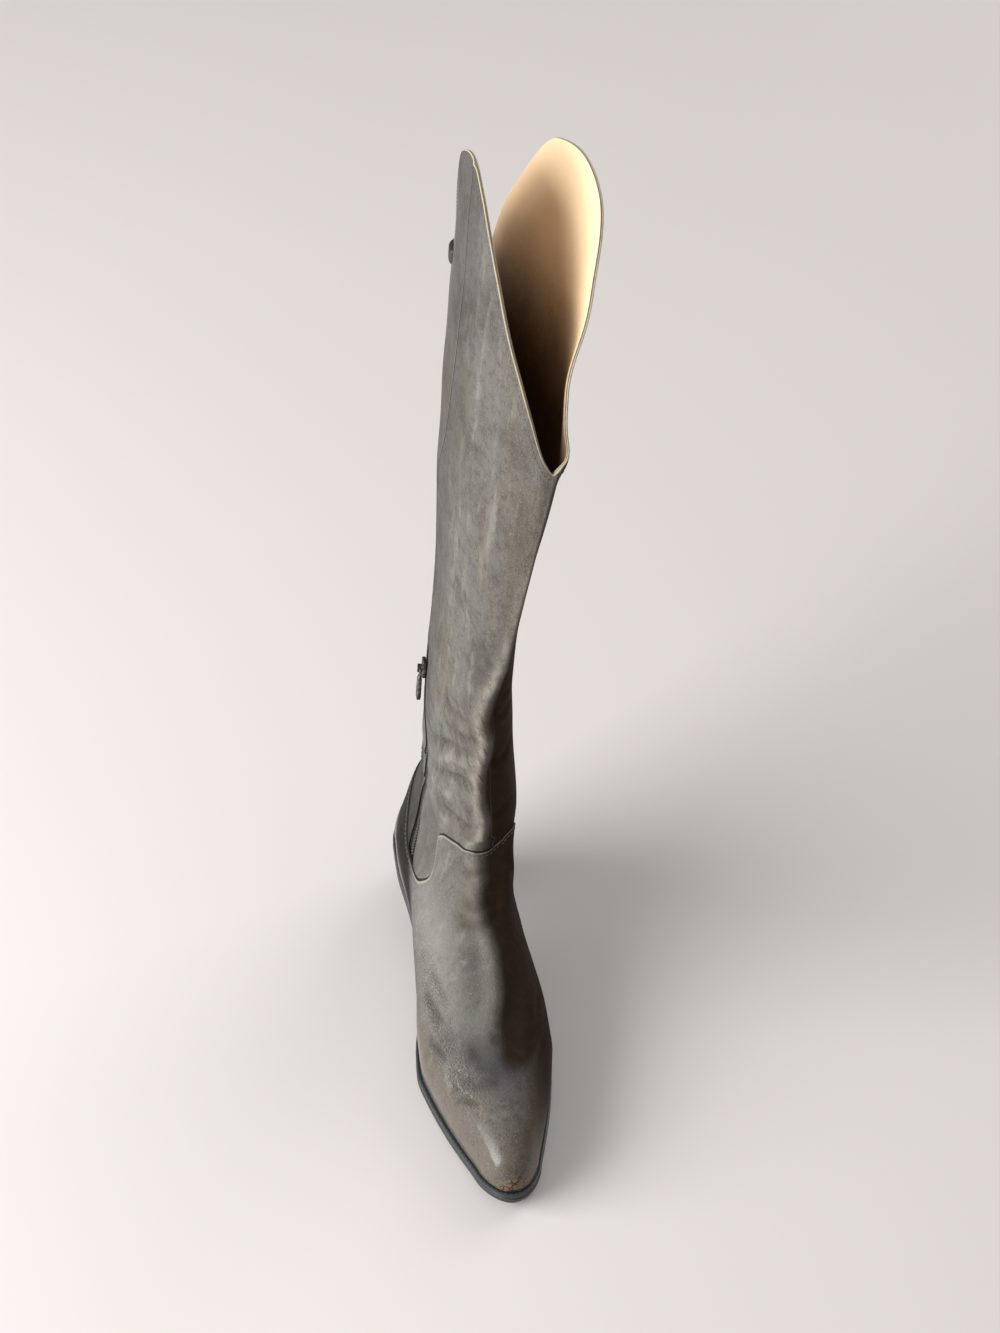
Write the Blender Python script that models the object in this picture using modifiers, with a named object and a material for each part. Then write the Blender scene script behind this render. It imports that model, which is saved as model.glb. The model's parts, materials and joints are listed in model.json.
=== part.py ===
"""Over-the-knee western boot for the left foot, empty and standing on its own sole.

Frame: metres, +Z up, the floor at z = 0, the toe towards -Y, the big-toe side towards -X.
The origin is the middle of the flat ground face of the heel.

The upper is a grid of rings and columns around a last. A column is an angle: 0 at the front,
180 degrees at the back, positive on the outer side. A ring is a level: 0 at the feather line where
the upper meets the welt, 1 around the ankle, 2 across the tips of the collar. Rings below the ankle
tilt forward, so that they run over the instep and the toe.
"""

import math
from typing import NamedTuple

import bmesh
import bpy
import numpy as np
from mathutils import Matrix, Vector

MM = 0.001
GAP = 0.3 * MM

# Driving sizes of the last, in millimetres until they are scaled.
TOE_Y = -250.0
SEAT_Y = 26.0
NOSE_ROUND = 18.0
NOSE_LEAD = 0.3
SEAT_ROUND = 27.0
SEAT_ROUND_GAIN = 34.0
SEAT_CLIMB = 28.0
DOME_ROOT = 2.1
DOME_POWER = 2.2
SWELL_HEIGHT = 56.0
LEAN_SHARE = 0.8
INSTEP_BLEND = 40.0
INSTEP_LEAD = 6.0
SAG_SHARE = 0.9
ANKLE_TURN = 0.15

# Sole stack.
WELT_THICKNESS = 3.2
OUTSOLE_THICKNESS = 5.0
WELT_INNER = 9.0
SOLE_TAPER = 0.8
SOLE_GAP = 0.45
INSOLE_CLEARANCE = 3.9
INSOLE_THICKNESS = 3.0
SOLE_COLUMNS = 96

# Heel: its top follows the outsole, its ground face is centred on the origin.
HEEL_GROUND_HALF_LENGTH = 22.5
HEEL_GROUND_HALF_WIDTH = 21.5
HEEL_TOP_FRONT_Y = -31.0
HEEL_TOP_INSET = 0.8
HEEL_BREAST_HOLLOW = 3.0
HEEL_WAIST = 1.2
HEEL_ROUND = 22.0
HEEL_BREAST_COLUMNS = 6
HEEL_SIDE_COLUMNS = 16
LIFT_HEIGHT = 6.0

# Wall of the upper.
WALL = 1.9
OVERLAY_WALL = 2.9
SEAM_RISE = 0.8
INNER_DEPTH = 2.6
FOOT_BAND = 2.0
FOOT_GAP = 0.5
COLUMN_STEP = 6.4
VAMP_ROWS = 10
SHAFT_ROWS = 17
STEP_HALF = 0.0015

# Zip on the big-toe side.
ZIP_ANGLE = -105.0
ZIP_HALF_ANGLE = 3.6
ZIP_HOLD = 12.0
ZIP_FADE = 42.0
ZIP_LOW = 0.55
ZIP_HIGH = 1.24
TAPE_REACH_ANGLE = 10.0
TAPE_THICKNESS = 0.8
CHAIN_HALF_ANGLE = 1.9
CHAIN_THICKNESS = 1.9
CHAIN_END = 0.006

# Slider and pull, measured in the slider's own frame: across, along the zip, and out.
SLIDER_BELOW_END = 0.030
SLIDER_LEVEL_STEP = 0.02
SLIDER_SIZE = (8.6, 11.5, 2.4)
SLIDER_CLEARANCE = 0.4
SLIDER_NOSE = 0.62
SLIDER_BEVEL = 0.7
CROWN_SIZE = (1.8, 4.8, 2.9)
EYE_RADIUS = 1.0
PULL_THICKNESS = 1.2
PULL_BAR = 0.55
PULL_EYE_HALF = 2.6
PULL_WINDOW_HALF = 1.5
PULL_WINDOW_END = 3.9
PULL_NECK = 5.6
PULL_NECK_HALF = 1.7
PULL_END = 21.0
PULL_END_HALF = 2.9


class Outline(NamedTuple):
    """A station of the feather line: its middle and half width before the ends are rounded.

    The wall bulges past the half width by the swells, and the welt and outsole by the ledge.
    """

    y: float
    middle: float
    half: float
    inner_swell: float
    outer_swell: float
    ledge: float


class Side(NamedTuple):
    """A station of the side curve: height of the top of the welt."""

    y: float
    z: float


class Section(NamedTuple):
    """A ring of the upper: its front and back points, half widths and the roundness of its ends."""

    level: float
    front_x: float
    front_y: float
    front_z: float
    back_x: float
    back_y: float
    back_z: float
    inner: float
    outer: float
    power: float
    nose: float
    seat: float


class Edge(NamedTuple):
    """A point of a line drawn around the upper: the level that it passes at an angle."""

    angle: float
    level: float


class Place(NamedTuple):
    """A point of the line of the zip: its angle at a share of the way up the wall.

    The share is -1 at the feather line, 0 at the edge of the overlay and 1 at the collar.
    """

    share: float
    angle: float


class Fold(NamedTuple):
    """A soft swelling of the wall: where it is, how far it spreads and how high it stands."""

    angle: float
    level: float
    wide: float
    tall: float
    height: float


OUTLINE = (
    #       y  middle half  swells  ledge
    Outline(-256, 1.9, 12.0, 0.4, 1.6, 2.7),
    Outline(-250, 1.9, 13.0, 0.4, 1.6, 2.7),
    Outline(-232, 1.9, 17.0, 0.5, 2.6, 2.7),
    Outline(-216, 1.9, 22.5, 0.7, 3.4, 2.7),
    Outline(-201, 2.0, 27.6, 1.0, 4.0, 2.7),
    Outline(-186, 2.2, 32.0, 1.2, 4.4, 2.7),
    Outline(-171, 2.2, 35.6, 1.4, 4.6, 2.7),
    Outline(-155, 2.4, 38.4, 1.8, 4.6, 2.7),
    Outline(-135, 3.7, 37.8, 3.0, 4.6, 2.4),
    Outline(-110, 5.5, 34.0, 4.6, 4.8, 1.7),
    Outline(-80, 5.5, 29.5, 5.4, 4.6, 0.8),
    Outline(-50, 2.8, 27.7, 4.4, 3.6, 0.8),
    Outline(-20, -0.4, 27.9, 2.4, 2.2, 1.2),
    Outline(5, -0.4, 26.8, 1.2, 1.2, 1.6),
    Outline(32, -0.2, 26.5, 1.2, 1.2, 1.6),
)

SIDE_CURVE = (
    Side(-256, 15.9),
    Side(-250, 15.0),
    Side(-225, 11.6),
    Side(-190, 9.3),
    Side(-165, 8.65),
    Side(-137, 8.65),
    Side(-120, 9.9),
    Side(-95, 15.0),
    Side(-60, 28.0),
    Side(-30, 40.0),
    Side(-10, 45.0),
    Side(26, 48.0),
    Side(34, 48.5),
)

SECTIONS = (
    #       level  front: x  y     z   back: x  y     z   inner outer power nose seat
    Section(0.00, 1.9, -250, 15, 0.0, 26.0, 48, 25, 30, 2.0, 0.5, 0.45),
    Section(0.08, 1.9, -249, 21, 0.0, 29.0, 55, 25, 30, 2.0, 0.5, 0.45),
    Section(0.18, 2.4, -242, 31, 0.0, 31.0, 62, 25, 30, 2.0, 0.5, 0.45),
    Section(0.30, 3.8, -222, 41, 0.0, 31.5, 70, 25, 30, 2.0, 0.5, 0.45),
    Section(0.45, 6.5, -180, 52, 0.5, 30.0, 80, 25, 30, 2.0, 0.5, 0.45),
    Section(0.60, 9.5, -142, 65, 1.0, 28.0, 90, 25, 30, 2.0, 0.5, 0.45),
    Section(0.76, 12.0, -108, 84, 2.0, 25.0, 101, 25, 30, 2.0, 0.5, 0.45),
    Section(0.90, 13.5, -87, 106, 3.0, 23.0, 113, 25, 30, 2.0, 0.5, 0.45),
    Section(1.00, 14.5, -78, 125, 5.0, 21.0, 125, 23, 30, 2.0, 0.5, 0.45),
    Section(1.15, 16.0, -71, 190, 8.0, 23.0, 190, 25, 24, 1.9, 0.5, 0.50),
    Section(1.35, 20.0, -82, 275, 11.0, 37.0, 275, 21, 18, 1.8, 0.5, 0.50),
    Section(1.55, 27.0, -95, 350, 14.0, 44.0, 350, 25, 16, 1.9, 0.5, 0.50),
    Section(1.75, 36.0, -100, 420, 18.0, 48.0, 420, 27.5, 17, 1.9, 0.5, 0.50),
    Section(1.87, 40.0, -103, 480, 21.0, 52.0, 480, 26.5, 22.5, 1.9, 0.5, 0.50),
    Section(2.00, 44.0, -105, 550, 24.0, 56.0, 550, 26, 32.5, 1.9, 0.5, 0.50),
)

# The collar: two tall rounded lobes over the sides, a deep dip at the front and at the back.
COLLAR = (
    Edge(-180, 1.745),
    Edge(-165, 1.77),
    Edge(-140, 1.91),
    Edge(-120, 1.985),
    Edge(-105, 2.0),
    Edge(-90, 1.985),
    Edge(-70, 1.93),
    Edge(-50, 1.865),
    Edge(-30, 1.81),
    Edge(-12, 1.765),
    Edge(0, 1.75),
    Edge(10, 1.765),
    Edge(30, 1.84),
    Edge(50, 1.93),
    Edge(75, 1.99),
    Edge(95, 2.0),
    Edge(115, 1.99),
    Edge(140, 1.91),
    Edge(165, 1.77),
    Edge(180, 1.745),
)

# The upper edge of vamp and counter: a dip on the instep, a peak each side, a deep scallop by
# the zip and on the outer side, and the counter behind.
OVERLAY = (
    Edge(-180, 0.72),
    Edge(-150, 0.70),
    Edge(-125, 0.63),
    Edge(-112, 0.55),
    Edge(-102, 0.53),
    Edge(-86, 0.63),
    Edge(-72, 0.76),
    Edge(-64, 0.91),
    Edge(-45, 0.962),
    Edge(-28, 0.975),
    Edge(0, 0.968),
    Edge(28, 0.990),
    Edge(45, 0.985),
    Edge(64, 0.91),
    Edge(76, 0.76),
    Edge(90, 0.64),
    Edge(104, 0.58),
    Edge(125, 0.63),
    Edge(150, 0.70),
    Edge(180, 0.72),
)

# The line of the zip, and above it of the seam: forward over the ankle, back along the calf.
ZIP_PATH = (
    Place(-1.0, -105),
    Place(0.0, -107),
    Place(0.11, -104),
    Place(0.205, -102),
    Place(0.296, -97),
    Place(0.35, -92),
    Place(0.40, -101),
    Place(0.445, -110),
    Place(0.52, -116),
    Place(0.70, -108),
    Place(0.77, -101),
    Place(0.83, -100),
    Place(0.89, -98),
    Place(1.0, -101),
)

# Large soft forms of the slack shaft.
FOLDS = (
    Fold(14, 1.775, 8, 0.03, 4.0),
    Fold(34, 1.85, 16, 0.05, -4.0),
)


class Track:
    """A smooth curve through a table, that keeps each rise and fall without overshoot."""

    def __init__(self, places, values):
        self.places = np.array(places, dtype=float)
        self.values = np.array(values, dtype=float)
        self.steps = np.diff(self.places)
        rises = np.diff(self.values) / self.steps
        before = 2 * self.steps[1:] + self.steps[:-1]
        after = self.steps[1:] + 2 * self.steps[:-1]
        same = rises[:-1] * rises[1:] > 0
        safe_left = np.where(same, rises[:-1], 1.0)
        safe_right = np.where(same, rises[1:], 1.0)
        inner = (before + after) / (before / safe_left + after / safe_right)
        self.slopes = np.empty_like(self.values)
        self.slopes[1:-1] = np.where(same, inner, 0.0)
        self.slopes[0] = rises[0]
        self.slopes[-1] = rises[-1]

    def __call__(self, place):
        place = np.clip(np.asarray(place, dtype=float), self.places[0], self.places[-1])
        last = len(self.places) - 2
        cell = np.clip(np.searchsorted(self.places, place, side="right") - 1, 0, last)
        step = self.steps[cell]
        t = (place - self.places[cell]) / step
        start = (1 + 2 * t) * (1 - t) ** 2 * self.values[cell]
        leave = t * (1 - t) ** 2 * step * self.slopes[cell]
        end = t * t * (3 - 2 * t) * self.values[cell + 1]
        arrive = t * t * (t - 1) * step * self.slopes[cell + 1]
        return start + leave + end + arrive


def tracks(table, key):
    """Return one Track for each column of a table, against its key column."""
    keys = [getattr(row, key) for row in table]
    found = {}
    for name in table[0]._fields:
        found[name] = Track(keys, [getattr(row, name) for row in table])
    return found


LINE = tracks(OUTLINE, "y")
WELT_TOP = tracks(SIDE_CURVE, "y")["z"]
RING = tracks(SECTIONS, "level")
COLLAR_LEVEL = tracks(COLLAR, "angle")["level"]
OVERLAY_LEVEL = tracks(OVERLAY, "angle")["level"]
ZIP_LINE = tracks(ZIP_PATH, "share")["angle"]

FOOT_LEVELS = np.linspace(0, 1, 201)
FRONT_Y = RING["front_y"](FOOT_LEVELS)
FRONT_Z = RING["front_z"](FOOT_LEVELS)
BACK_Y = RING["back_y"](FOOT_LEVELS)
BACK_Z = RING["back_z"](FOOT_LEVELS)
ANKLE = next(ring for ring in SECTIONS if ring.level == 1.0)


def smooth(t):
    """Ease from 0 to 1."""
    t = np.clip(t, 0, 1)
    return t * t * (3 - 2 * t)


def round_end(distance, radius):
    """Share of the full half width at a distance from a rounded end."""
    t = np.clip(distance / radius, 0, 1)
    return np.sqrt(1 - (1 - t) ** 2)


def foot_half_width(y, z, outward):
    """Half width of the foot at a station y and height z.

    Ahead of the ankle the cross-section is a dome under the instep line. Behind it the side leans
    from the feather line to the ankle ring. Both ends are rounded.
    """
    bottom = WELT_TOP(y)
    instep = np.interp(y, FRONT_Y, FRONT_Z)
    top = np.where(y < ANKLE.front_y, instep, ANKLE.front_z)
    share = np.clip((z - bottom) / np.maximum(top - bottom, 1e-6), 0, 1)
    dome = (1 - share**DOME_POWER) ** (1 / DOME_ROOT)
    lean = 1 - smooth(share / LEAN_SHARE)
    behind = smooth((y - ANKLE.front_y + INSTEP_LEAD) / INSTEP_BLEND)
    keep = dome * (1 - behind) + lean * behind
    swell = np.where(outward > 0, LINE["outer_swell"](y), LINE["inner_swell"](y))
    swell = swell * np.sin(math.pi * np.clip((z - bottom) / SWELL_HEIGHT, 0, 1))
    base = (LINE["half"](y) + swell) * round_end(y - TOE_Y + NOSE_LEAD, NOSE_ROUND)
    along = np.clip((y - ANKLE.front_y) / (ANKLE.back_y - ANKLE.front_y), 0, 1)
    ring = np.where(outward > 0, ANKLE.outer, ANKLE.inner) * round_end(along, ANKLE.nose)
    climb = smooth((z - SECTIONS[0].back_z) / SEAT_CLIMB)
    seat = SEAT_ROUND + SEAT_ROUND_GAIN * climb
    back = np.interp(z, BACK_Z, BACK_Y)
    return (base * keep + ring * (1 - keep)) * round_end(back - y, seat)


def ring_ends(share, nose, seat, power):
    """Share of the half width along a shaft ring, from its front (0) to its back (1)."""
    front = 1 - (1 - np.clip(share / nose, 0, 1)) ** power
    back = 1 - (1 - np.clip((1 - share) / seat, 0, 1)) ** power
    return np.sqrt(front * back)


def fold_height(degrees, level):
    """Height of the soft forms at each point of the wall."""
    total = np.zeros_like(level)
    for fold in FOLDS:
        across = ((degrees - fold.angle) / fold.wide) ** 2
        along = ((level - fold.level) / fold.tall) ** 2
        total = total + fold.height * np.exp(-across - along)
    return total


def last_surface(degrees, level):
    """Outer form of the upper at angles and levels, in millimetres."""
    angle = np.radians(degrees)
    outward = np.where(np.sin(angle) < 0, -1.0, 1.0)
    share = (1 - np.cos(angle)) / 2
    at = {name: RING[name](level) for name in Section._fields}
    run_x = at["back_x"] - at["front_x"]
    run_y = at["back_y"] - at["front_y"]
    half = np.where(outward > 0, at["outer"], at["inner"])
    half = half * ring_ends(share, at["nose"], at["seat"], at["power"])
    turn = smooth((np.maximum(level, 1) - 1) / ANKLE_TURN)
    length = np.hypot(run_x, run_y)
    side_x = run_y / length * turn + 1 - turn
    side_y = -run_x / length * turn
    rise = at["front_z"] + share * (at["back_z"] - at["front_z"])
    shaft = (
        at["front_x"] + share * run_x + outward * half * side_x,
        at["front_y"] + share * run_y + outward * half * side_y,
        rise,
    )
    feather_y = TOE_Y + share * (SEAT_Y - TOE_Y)
    straight = WELT_TOP(TOE_Y) + share * (WELT_TOP(SEAT_Y) - WELT_TOP(TOE_Y))
    foot_y = at["front_y"] + share * run_y
    foot_z = rise + (WELT_TOP(feather_y) - straight) * (1 - smooth(level / SAG_SHARE))
    chord = at["front_x"] + share * run_x
    middle = LINE["middle"](foot_y) * (1 - smooth(level)) + chord * smooth(level)
    foot = (middle + outward * foot_half_width(foot_y, foot_z, outward), foot_y, foot_z)
    return np.stack([np.where(level < 1, f, s) for f, s in zip(foot, shaft)], axis=-1)


def last_normal(degrees, level):
    """Outward unit normal of the last, from small steps both ways."""
    d_angle = 0.5
    d_level = 0.004
    low = np.clip(level - d_level, 0.0, 2.0)
    high = np.clip(level + d_level, 0.0, 2.0)
    around = last_surface(degrees + d_angle, level) - last_surface(degrees - d_angle, level)
    along = last_surface(degrees, high) - last_surface(degrees, low)
    normal = np.cross(around, along)
    return normal / np.linalg.norm(normal, axis=-1, keepdims=True)


def upper_points(degrees, level, depth):
    """Points of the upper a depth below its outer form, with the soft folds, in millimetres."""
    lift = fold_height(degrees, level) - depth
    return last_surface(degrees, level) + last_normal(degrees, level) * lift[..., None]


def feather_loop(columns, reach, ledge=0.0):
    """Closed loop of (x, y) around the feather line, let out by a reach and a share of the ledge."""
    angle = np.radians(columns)
    outward = np.where(np.sin(angle) < 0, -1.0, 1.0)
    toe_reach = reach + ledge * LINE["ledge"](TOE_Y)
    seat_reach = reach + ledge * LINE["ledge"](SEAT_Y)
    toe = TOE_Y - toe_reach
    seat = SEAT_Y + seat_reach
    y = toe + (1 - np.cos(angle)) / 2 * (seat - toe)
    ends = round_end(y - toe, NOSE_ROUND + toe_reach) * round_end(seat - y, SEAT_ROUND + seat_reach)
    half = (LINE["half"](y) + reach + ledge * LINE["ledge"](y)) * ends
    return np.stack([LINE["middle"](y) + outward * half, y], axis=-1)


def clear_scene():
    """Remove every object of the scene."""
    for item in list(bpy.data.objects):
        bpy.data.objects.remove(item, do_unlink=True)


def make_collection(name):
    """Return a new collection linked to the scene."""
    collection = bpy.data.collections.new(name)
    bpy.context.scene.collection.children.link(collection)
    return collection


def material(name, colour, roughness, metallic=0.0):
    """Return a Principled material."""
    made = bpy.data.materials.new(name)
    made.use_nodes = True
    shader = made.node_tree.nodes["Principled BSDF"]
    shader.inputs["Base Color"].default_value = (*colour, 1.0)
    shader.inputs["Roughness"].default_value = roughness
    shader.inputs["Metallic"].default_value = metallic
    made.diffuse_color = (*colour, 1.0)
    return made


def mesh_object(name, points, faces, finish, collection):
    """Return an object from points in millimetres."""
    mesh = bpy.data.meshes.new(name)
    mesh.from_pydata((np.asarray(points) * MM).tolist(), [], faces)
    mesh.materials.append(finish)
    made = bpy.data.objects.new(name, mesh)
    collection.objects.link(made)
    return made


def shade_round(thing, degrees=35):
    """Shade a piece smooth apart from its sharp edges."""
    thing.data.shade_smooth()
    thing.data.set_sharp_from_angle(angle=math.radians(degrees))


def face_outwards(thing):
    """Turn every face of a closed mesh outwards."""
    work = bmesh.new()
    work.from_mesh(thing.data)
    bmesh.ops.recalc_face_normals(work, faces=work.faces)
    work.to_mesh(thing.data)
    work.free()


def grid_faces(rows, columns, closed, hole=None):
    """Quads of a grid, row by row. A closed grid wraps around; hole(row, column) leaves one out."""
    faces = []
    for row in range(rows - 1):
        for column in range(columns if closed else columns - 1):
            if hole is not None and hole(row, column):
                continue
            beside = (column + 1) % columns
            low = row * columns
            high = low + columns
            faces.append((low + column, low + beside, high + beside, high + column))
    return faces


def cap_faces(first, count):
    """Strips across a closed loop that joins each column to its mirror column."""
    half = count // 2
    faces = [(first, first + 1, first + count - 1)]
    for step in range(1, half - 1):
        left = first + step
        right = first + count - step
        faces.append((left, left + 1, right - 1, right))
    faces.append((first + half - 1, first + half, first + half + 1))
    return faces


def slab(name, loops, finish, collection):
    """Closed solid lofted through loops of equal count, capped at the first and last loop."""
    count = len(loops[0])
    faces = grid_faces(len(loops), count, closed=True)
    faces += cap_faces(0, count)
    faces += cap_faces((len(loops) - 1) * count, count)
    made = mesh_object(name, np.concatenate(loops), faces, finish, collection)
    face_outwards(made)
    shade_round(made)
    return made


def ring_solid(name, loops, finish, collection):
    """Closed band lofted through loops that come back to the first one."""
    count = len(loops[0])
    faces = grid_faces(len(loops), count, closed=True)
    last = (len(loops) - 1) * count
    for column in range(count):
        beside = (column + 1) % count
        faces.append((last + column, last + beside, beside, column))
    made = mesh_object(name, np.concatenate(loops), faces, finish, collection)
    face_outwards(made)
    shade_round(made)
    return made


def with_height(loop, z):
    """Loop of (x, y) given its heights."""
    return np.column_stack([loop, np.broadcast_to(z, len(loop))])


def column_angles():
    """Column angles of the upper, closer at the seams and at the edges of the zip."""
    stops = [
        -180.0,
        -175.0,
        ZIP_ANGLE - TAPE_REACH_ANGLE,
        ZIP_ANGLE - ZIP_HALF_ANGLE,
        ZIP_ANGLE,
        ZIP_ANGLE + ZIP_HALF_ANGLE,
        ZIP_ANGLE + TAPE_REACH_ANGLE,
        0.0,
        175.0,
        180.0,
    ]
    angles = []
    for start, stop in zip(stops[:-1], stops[1:]):
        cells = max(1, math.ceil((stop - start) / COLUMN_STEP))
        angles.extend(np.linspace(start, stop, cells, endpoint=False))
    return np.array(angles)


def upper_grid(columns):
    """Angles and levels of the upper's rings at each column, and the row where the overlay ends.

    The rings follow the edge of the overlay, where two of them lie close together and make its
    step, and end on the collar. The columns near the zip drift with its line.
    """
    fade = 1 - smooth((abs(columns - ZIP_ANGLE) - ZIP_HOLD) / ZIP_FADE)
    edge = OVERLAY_LEVEL(columns + (ZIP_LINE(0.0) - ZIP_ANGLE) * fade)
    collar = COLLAR_LEVEL(columns + (ZIP_LINE(1.0) - ZIP_ANGLE) * fade)
    shares = []
    levels = []
    for share in np.linspace(0, 1, VAMP_ROWS + 1)[1:]:
        shares.append(share - 1)
        levels.append((edge - STEP_HALF) * share)
    for share in np.linspace(0, 1, SHAFT_ROWS + 1):
        shares.append(share)
        levels.append(edge + STEP_HALF + (collar - edge - STEP_HALF) * share)
    drift = ZIP_LINE(np.array(shares)) - ZIP_ANGLE
    return columns + drift[:, None] * fade, np.array(levels), VAMP_ROWS


def build_upper(finish, collection):
    """Hollow upper: shaft, vamp and counter in one wall, open at the collar, sole and zip."""
    columns = column_angles()
    degrees, levels, overlay_rows = upper_grid(columns)
    wall = upper_points(degrees, levels, np.full(levels.shape, INNER_DEPTH))
    foot = feather_loop(columns, -INNER_DEPTH)
    foot_z = WELT_TOP(feather_loop(columns, OVERLAY_WALL - INNER_DEPTH)[:, 1]) + FOOT_GAP
    band = [with_height(foot, foot_z), with_height(foot, foot_z + FOOT_BAND)]
    points = np.concatenate([band[0], band[1], wall.reshape(-1, 3)])
    count = len(columns)
    shift = len(band)
    zip_columns = [int(np.argmin(abs(columns - ZIP_ANGLE + ZIP_HALF_ANGLE)))]
    zip_columns.append(zip_columns[0] + 1)
    zip_levels = levels[:, zip_columns[1]]
    middle = (zip_levels[:-1] + zip_levels[1:]) / 2
    open_rows = np.nonzero((middle > ZIP_LOW) & (middle < ZIP_HIGH))[0] + shift

    def hole(row, column):
        return column in zip_columns and row in open_rows

    faces = grid_faces(len(levels) + shift, count, closed=True, hole=hole)
    made = mesh_object("upper", points, faces, finish, collection)
    weights = np.full((len(levels) + shift, count), WALL / OVERLAY_WALL)
    weights[: overlay_rows + shift] = 1.0
    seam = (WALL + SEAM_RISE) / OVERLAY_WALL
    first = overlay_rows + shift
    weights[first:, 0] = seam
    weights[open_rows[-1] + 2 :, zip_columns[1]] = seam
    group = made.vertex_groups.new(name="wall")
    for index, weight in enumerate(weights.ravel()):
        group.add([index], float(weight), "REPLACE")
    used = set(index for face in faces for index in face)
    drop_points(made, [index for index in range(len(points)) if index not in used])
    shell = made.modifiers.new("wall", "SOLIDIFY")
    shell.thickness = OVERLAY_WALL * MM
    shell.offset = 1.0
    shell.vertex_group = "wall"
    shell.thickness_vertex_group = 0.0
    made.data.shade_smooth()
    return columns, degrees, levels, open_rows - shift


def drop_points(thing, indices):
    """Remove points that no face uses."""
    work = bmesh.new()
    work.from_mesh(thing.data)
    work.verts.ensure_lookup_table()
    bmesh.ops.delete(work, geom=[work.verts[index] for index in indices], context="VERTS")
    work.to_mesh(thing.data)
    work.free()


def build_sole(finishes, collection):
    """Outsole, welt and insole, all from the feather line."""
    columns = np.linspace(-180, 180, SOLE_COLUMNS, endpoint=False)
    columns = np.roll(columns, -SOLE_COLUMNS // 2)
    edge = feather_loop(columns, 0.0, ledge=1.0)
    top = WELT_TOP(edge[:, 1])
    hollow = feather_loop(columns, -WELT_INNER)
    hollow_top = WELT_TOP(hollow[:, 1])
    gap = GAP / MM
    welt_bottom = top - WELT_THICKNESS
    ring_solid(
        "welt",
        [
            with_height(edge, top),
            with_height(edge, welt_bottom),
            with_height(hollow, hollow_top - WELT_THICKNESS),
            with_height(hollow, hollow_top),
        ],
        finishes["edge"],
        collection,
    )
    sole_top = welt_bottom - SOLE_GAP
    tread = feather_loop(columns, -SOLE_TAPER, ledge=1.0)
    tread_z = WELT_TOP(tread[:, 1]) - WELT_THICKNESS - SOLE_GAP - OUTSOLE_THICKNESS
    slab(
        "outsole",
        [with_height(edge, sole_top), with_height(tread, tread_z)],
        finishes["sole"],
        collection,
    )
    core = feather_loop(columns, -WELT_INNER - gap)
    plate = feather_loop(columns, -INSOLE_CLEARANCE)
    core_z = WELT_TOP(core[:, 1])
    plate_z = WELT_TOP(plate[:, 1])
    slab(
        "insole",
        [
            with_height(core, core_z - WELT_THICKNESS),
            with_height(core, core_z + gap),
            with_height(plate, plate_z + gap),
            with_height(plate, plate_z + gap + INSOLE_THICKNESS),
        ],
        finishes["insole"],
        collection,
    )


def heel_loop(front, back, half, hollow, middle=0.0):
    """Loop of (x, y) of a heel section: a hollow breast, straight sides and a round back."""
    across = np.linspace(0, 1, HEEL_BREAST_COLUMNS + 1)
    breast = np.column_stack([half * across, front + hollow * (1 - across**2)])
    share = (1 - np.cos(np.linspace(0, math.pi, HEEL_SIDE_COLUMNS + 1)[1:])) / 2
    y = front + share * (back - front)
    side = np.column_stack([half * round_end(back - y, HEEL_ROUND), y])
    right = np.concatenate([breast, side])
    left = right[-2:0:-1] * (-1, 1)
    return np.concatenate([right, left]) + (middle, 0.0)


def build_heel(finishes, collection):
    """Stacked heel under the outsole, and the top lift that meets the ground."""
    gap = GAP / MM
    seat_ledge = OUTLINE[-1].ledge - HEEL_TOP_INSET
    top_back = SEAT_Y + seat_ledge
    top_half = OUTLINE[-1].half + seat_ledge
    ground_back = HEEL_GROUND_HALF_LENGTH
    loops = []
    for share in (0.0, 0.35, 0.7, 1.0):
        waist = HEEL_WAIST * math.sin(math.pi * share)
        front = HEEL_TOP_FRONT_Y + share * (-ground_back - HEEL_TOP_FRONT_Y) + waist / 2
        back = top_back + share * (ground_back - top_back) - waist
        half = top_half + share * (HEEL_GROUND_HALF_WIDTH - top_half) - waist
        middle = LINE["middle"](0.0) * (1 - share)
        loop = heel_loop(front, back, half, HEEL_BREAST_HOLLOW, middle)
        seat = WELT_TOP(loop[:, 1]) - WELT_THICKNESS - SOLE_GAP - OUTSOLE_THICKNESS - SOLE_GAP
        loops.append(with_height(loop, seat + share * (LIFT_HEIGHT - seat)))
    slab("heel_block", loops, finishes["heel"], collection)
    lift = heel_loop(
        -HEEL_GROUND_HALF_LENGTH,
        HEEL_GROUND_HALF_LENGTH,
        HEEL_GROUND_HALF_WIDTH,
        HEEL_BREAST_HOLLOW,
    )
    slab(
        "top_lift",
        [with_height(lift, LIFT_HEIGHT - gap), with_height(lift, 0.0)],
        finishes["lift"],
        collection,
    )


def strip(name, degrees, levels, depth, thickness, finish, collection):
    """Strip that follows the wall of the upper, thickened outwards."""
    points = upper_points(degrees, levels, np.full(levels.shape, depth))
    rows, columns = levels.shape
    faces = grid_faces(rows, columns, closed=False)
    made = mesh_object(name, points.reshape(-1, 3), faces, finish, collection)
    shell = made.modifiers.new("thickness", "SOLIDIFY")
    shell.thickness = thickness * MM
    shell.offset = 1.0
    made.data.shade_smooth()
    return made


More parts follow.
